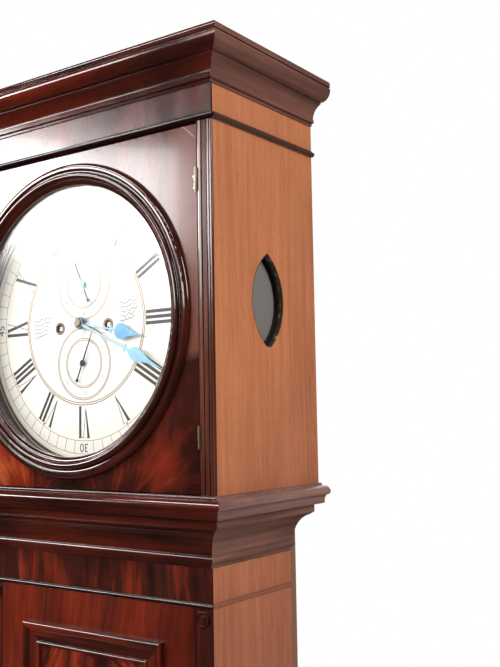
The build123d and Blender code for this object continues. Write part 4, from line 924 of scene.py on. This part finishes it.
def chipped_edge():
    """Pale filler with a ragged edge round the hood door's upper hinge."""
    bm = bmesh.new()
    draw = Random(11)
    hinge_low, hinge_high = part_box("hood_door_hinges")
    pin_x = hinge_high.x - HINGE_RADIUS
    pin_y = hinge_low.y + HINGE_RADIUS
    top = hinge_high.z + 0.8 * MM
    rows = 22
    loops = []
    for row in range(rows + 1):
        share = row / rows
        z = top - share * CHIP_TALL
        bulge = max(0.05, sin(pi * share)) ** 0.5
        edge = pin_x - (1.9 + 3.2 * bulge * (0.3 + 1.1 * draw.random())) * MM
        face = DOOR_FACE_Y - 0.25 * MM
        loop = [(edge, DOOR_FACE_Y + 0.3 * MM), (edge, face), (pin_x - 1.9 * MM, face)]
        radius = (1.88 + 0.12 * draw.random()) * MM
        for step in range(7):
            angle = radians(200 + 8 * step)
            loop.append((pin_x + radius * cos(angle), pin_y + radius * sin(angle)))
        loop.append((pin_x, DOOR_FACE_Y + 0.3 * MM))
        loops.append([bm.verts.new((x, y, z)) for x, y in loop])
    join_loops(bm, loops)
    bm.faces.new(loops[0])
    bm.faces.new(loops[-1])
    bmesh.ops.triangulate(bm, faces=bm.faces)
    putty = speckled("putty", 300, PUTTY, 0.8, lift=0.3 * MM)
    piece("chipped_edge", bm, putty, "hood_door")


def veneer_marks():
    """Let-in corner patch and short open joints in the door veneer, and a shake in the side."""
    bm = bmesh.new()
    face = DOOR_FACE_Y - 0.06 * MM
    back = DOOR_FACE_Y + 0.1 * MM
    corner = [      # mm from the middle of the dial ring, as are the joints below
        (180.5, 203.6), (184, 201.8), (190, 196.5), (198.8, 188.2),
        (198.8, 187.7), (189.6, 195.9), (183.7, 201.3), (180.5, 203.1),
    ]
    add_prism(bm, [(x * MM, RING.z + z * MM) for x, z in corner], face, back)
    patch = paint("patch_paint", (0.22, 0.145, 0.12))
    piece("patch_line", bm, patch, "hood_door")
    bm = bmesh.new()
    for x, z, length in ((190.5, 110.7, 8), (47, 200.6, 7), (-5, 201.3, 6)):
        corners = [(x, z), (x + length, z - 0.5), (x + length, z - 0.9), (x, z - 0.45)]
        add_prism(bm, [(px * MM, RING.z + pz * MM) for px, pz in corners], face, back)
    black = paint("joint_black", (0.004, 0.002, 0.002), 0.7)
    piece("open_joints", bm, black, "hood_door")
    bm = bmesh.new()
    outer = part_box("hood_sides")[1].x
    top = RING.z + 157.6 * MM
    y = DOOR_FACE_Y + 47 * MM
    # The shake's outline in mm, seen from the side
    rim = [(0, 0), (0.35, -5), (0.15, -11), (0.3, -16), (-0.1, -16.2), (-0.25, -10), (-0.05, -5)]
    front = [bm.verts.new((outer + 0.05 * MM, y + dy * MM, top + dz * MM)) for dy, dz in rim]
    rear = [bm.verts.new((outer - 0.2 * MM, y + dy * MM, top + dz * MM)) for dy, dz in rim]
    bm.faces.new(front)
    bm.faces.new(rear)
    join_loops(bm, (front, rear))
    shade = paint("shake_black", (0.01, 0.004, 0.002), 0.8)
    piece("side_shake", bm, shade, "hood")


def rubbed_black(name, inner, outer):
    """Black paint, rubbed back to brown wood near the outside of the case, with pale spots there
    that are painted highlights.
    """
    shader = Shader(name)
    x, _, z = shader.split()
    rub = shader.cloud((90, 90, 30), (4, 0, 2), detail=3)
    depth = shader.math("DIVIDE", shader.minus(shader.absolute(x), inner), outer - inner)
    worn = shader.ramp(shader.times_plus(rub, 0.5, depth), (0.72, 0.0), (0.86, 1.0))
    colour = shader.mix(worn, (0.003, 0.002, 0.002), (0.045, 0.021, 0.013))
    # Painted highlights: pale spots on the rubbed part, fewer above the window's middle
    painted_glint = shader.cloud((140, 140, 45), (0, 9, 5), detail=3)
    low = shader.ramp(shader.minus(WINDOW.z, z), (0.0, 0.35), (0.04, 1.0))
    painted_glint = shader.times(shader.times(worn, low), shader.ramp(painted_glint, (0.56, 0.0), (0.64, 1.0)))
    colour = shader.mix(painted_glint, colour, (0.34, 0.22, 0.15))
    return shader.finish(colour, 0.5, shader.bump(rub, 0.3 * MM, 0.4))


ARC_STEPS = 24      # in each of a window's two arcs


def window_liners():
    """Blackened edge of each pointed side window, a thin band just inside the opening."""
    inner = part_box("hood_side_glasses")[1].x
    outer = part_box("hood_sides")[1].x - 0.3 * MM
    black = rubbed_black("window_black", inner, outer)
    tall = WINDOW_TALL - 0.1 * MM
    wide = WINDOW_WIDE - 0.1 * MM
    radius = (tall**2 + wide**2) / (2 * wide)
    reach = atan2(tall, radius - wide)
    thin, lip, step_x = 1.0 * MM, 3.0 * MM, inner + 1.5 * MM
    profile = (inner, 0), (outer, 0), (outer, thin), (step_x, thin), (step_x, lip), (inner, lip)
    for side, name in ((1, "right"), (-1, "left")):
        bm = bmesh.new()
        loops = []
        for x, inset in profile:
            loop = []
            for hand in (1, -1):
                for step in range(ARC_STEPS):
                    angle = (step / ARC_STEPS * 2 - 1) * reach
                    out = (radius - inset) * cos(angle) - (radius - wide)
                    up = (radius - inset) * sin(angle) * (1 - 0.5 * inset / tall)
                    place = (side * x, WINDOW.y + hand * out, WINDOW.z + hand * up)
                    loop.append(bm.verts.new(place))
            loops.append(loop)
        join_loops(bm, loops + loops[:1])
        piece(f"{name}_window_liner", bm, black, "hood")


LINE_RADIUS = 0.7 * MM      # of the CAD lines
GUT_RADIUS = 0.8 * MM


def gut_lines():
    """Lines to the weights: upright strands, loops round the pulleys, ends to the barrels."""
    gut = speckled("gut", (900, 900, 260), GUT, 0.45, detail=2, lift=0.2 * MM)
    for side in ("going", "strike"):
        low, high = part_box(f"{side}_line")
        left = low.x + LINE_RADIUS
        right = high.x - LINE_RADIUS
        middle_x = (left + right) / 2
        loop_r = (right - left) / 2
        y = (low.y + high.y) / 2
        pulley_z = low.z + LINE_RADIUS + loop_r
        bm = bmesh.new()
        for x in (left, right):
            drop = high.z - pulley_z
            points = [Vector((x, y, pulley_z + drop * step / 12)) for step in range(13)]
            add_tube(bm, points, GUT_RADIUS)
        strands = piece(f"{side}_strands", bm, gut, "case")
        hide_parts(f"{side}_line")
        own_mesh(strands)
        bm = bmesh.new()
        angles = [pi + pi * step / 24 for step in range(25)]
        round_pulley = [(middle_x + loop_r * cos(a), y, pulley_z + loop_r * sin(a)) for a in angles]
        add_tube(bm, [Vector(place) for place in round_pulley], GUT_RADIUS)
        piece(f"{side}_loop", bm, gut, f"{side}_weight")
        bm = bmesh.new()
        barrel = middle(f"{side}_barrel")
        heights = (high.z, (high.z + barrel.z) / 2, barrel.z)
        add_tube(bm, [Vector((left, y, z)) for z in heights], GUT_RADIUS)
        piece(f"{side}_line_end", bm, gut, "case")


# ---- Stage ----
FLOOR_RADIUS = 3.2
LIGHT_DISTANCE = 3.3      # of the lights aimed at the hood
CAMERA_FROM_RING = Vector((0.8257, -0.7866, -0.1146))
FOCAL_MM = 50.3
YAW, PITCH_UP, ROLL = radians(35.307), radians(4.84), radians(-0.975)


def area_light(name, place, target, size, power, colour=(1, 1, 1)):
    """A soft rectangular light aimed at a point."""
    data = bpy.data.lights.new(name, "AREA")
    data.shape = "RECTANGLE"
    data.size, data.size_y = size
    data.energy = power
    data.color = colour
    lamp = placed(name, data)
    lamp.location = place
    lamp.rotation_euler = (Vector(target) - Vector(place)).to_track_quat("-Z", "Y").to_euler()
    return lamp


def spare(lamp, *nodes):
    """Keep a light and its reflection off some CAD nodes."""
    spared = bpy.data.collections.new(f"{lamp.name}_spares")
    lamp.light_linking.receiver_collection = spared
    for node in nodes:
        spared.objects.link(NODES[node])
    for entry in spared.collection_objects:
        entry.light_linking.link_state = "EXCLUDE"


def seen_from(point, side_deg, rise_deg, distance):
    """A place at a bearing (clockwise from straight ahead of the dial) and height from a point."""
    side = radians(side_deg)
    rise = radians(rise_deg)
    return point + distance * Vector((sin(side) * cos(rise), -cos(side) * cos(rise), sin(rise)))


def stage():
    """Pale floor, white surroundings and soft studio lights."""
    world = bpy.data.worlds.new("studio")
    bpy.context.scene.world = world
    world.use_nodes = True
    tree = world.node_tree

    def background(colour, strength):
        made = tree.nodes.new("ShaderNodeBackground")
        made.inputs[0].default_value = (*colour, 1)
        made.inputs[1].default_value = strength
        return made

    path = tree.nodes.new("ShaderNodeLightPath").outputs
    lighting = background((0.95, 0.97, 1.0), 0.5)
    mirrored = background((1.0, 0.97, 0.95), 0.03)
    around = mixed(tree, path["Is Glossy Ray"], lighting, mirrored)
    seen = mixed(tree, path["Is Camera Ray"], around, background((1, 1, 1), 1.0))
    tree.links.new(seen.outputs[0], tree.nodes["World Output"].inputs["Surface"])

    bm = bmesh.new()
    bmesh.ops.create_circle(bm, cap_ends=True, segments=96, radius=FLOOR_RADIUS)
    floor = solid("floor", bm, speckled("floor_pale", 6, PALE_FLOOR, 0.6, detail=5))
    floor.visible_glossy = False

    hood = Vector((0.05, DOOR_FACE_Y, RING.z + 0.14))
    for name, bearing, rise, size, power, colour in (
        ("window", -56.5, 13.4, (1.00, 0.50), 42, (1.0, 0.98, 0.97)),
        ("window_haze", -43.6, 13.2, (0.64, 0.46), 18, (1.0, 0.95, 0.94)),
        ("upper_window", -44.0, 38.0, (1.6, 0.22), 40, (1, 1, 1)),
        ("reeds", -12.0, 12.5, (2.4, 0.85), 68, (1.0, 0.95, 0.95)),
    ):
        place = seen_from(hood, bearing, rise, LIGHT_DISTANCE)
        lamp = area_light(name, place, hood, size, power, colour)
        if name == "reeds":      # its reflection would hide the dial from straight ahead
            spare(lamp, "hood_door_glass")
    area_light("above", (0.0, -2.2, 4.4), (0, 0, 1.2), (3.4, 0.2), 36)
    area_light("right", (3.4, 0.2, 3.3), (0, 0, 1.5), (1.2, 1.6), 106, (1.0, 0.95, 0.89))
    area_light("behind", (-1.5, 3.6, 2.4), (0, 0, 1.2), (2.4, 2.4), 60)


def camera():
    """Camera to the right of the dial and a little below it, turned up slightly."""
    forward = Vector((-sin(YAW) * cos(PITCH_UP), cos(YAW) * cos(PITCH_UP), sin(PITCH_UP)))
    level = Vector((cos(YAW), sin(YAW), 0))
    upward = level.cross(forward)
    right = cos(ROLL) * level + sin(ROLL) * upward
    up = cos(ROLL) * upward - sin(ROLL) * level
    place = Vector((RING.x, DOOR_FACE_Y, RING.z)) + CAMERA_FROM_RING
    data = bpy.data.cameras.new("camera")
    data.lens = FOCAL_MM
    data.sensor_width = 36
    data.clip_start = 0.01
    camera_object = placed("camera", data)
    rotation = Matrix((right, up, -forward)).transposed()
    camera_object.matrix_world = Matrix.Translation(place) @ rotation.to_4x4()
    bpy.context.scene.camera = camera_object


dress_frame()
dial_numerals()
minute_track()
gold_rings()
dial_numbers()
flourishes()
chipped_edge()
veneer_marks()
window_liners()
gut_lines()
stage()
camera()

bpy.context.scene.view_settings.view_transform = "Standard"
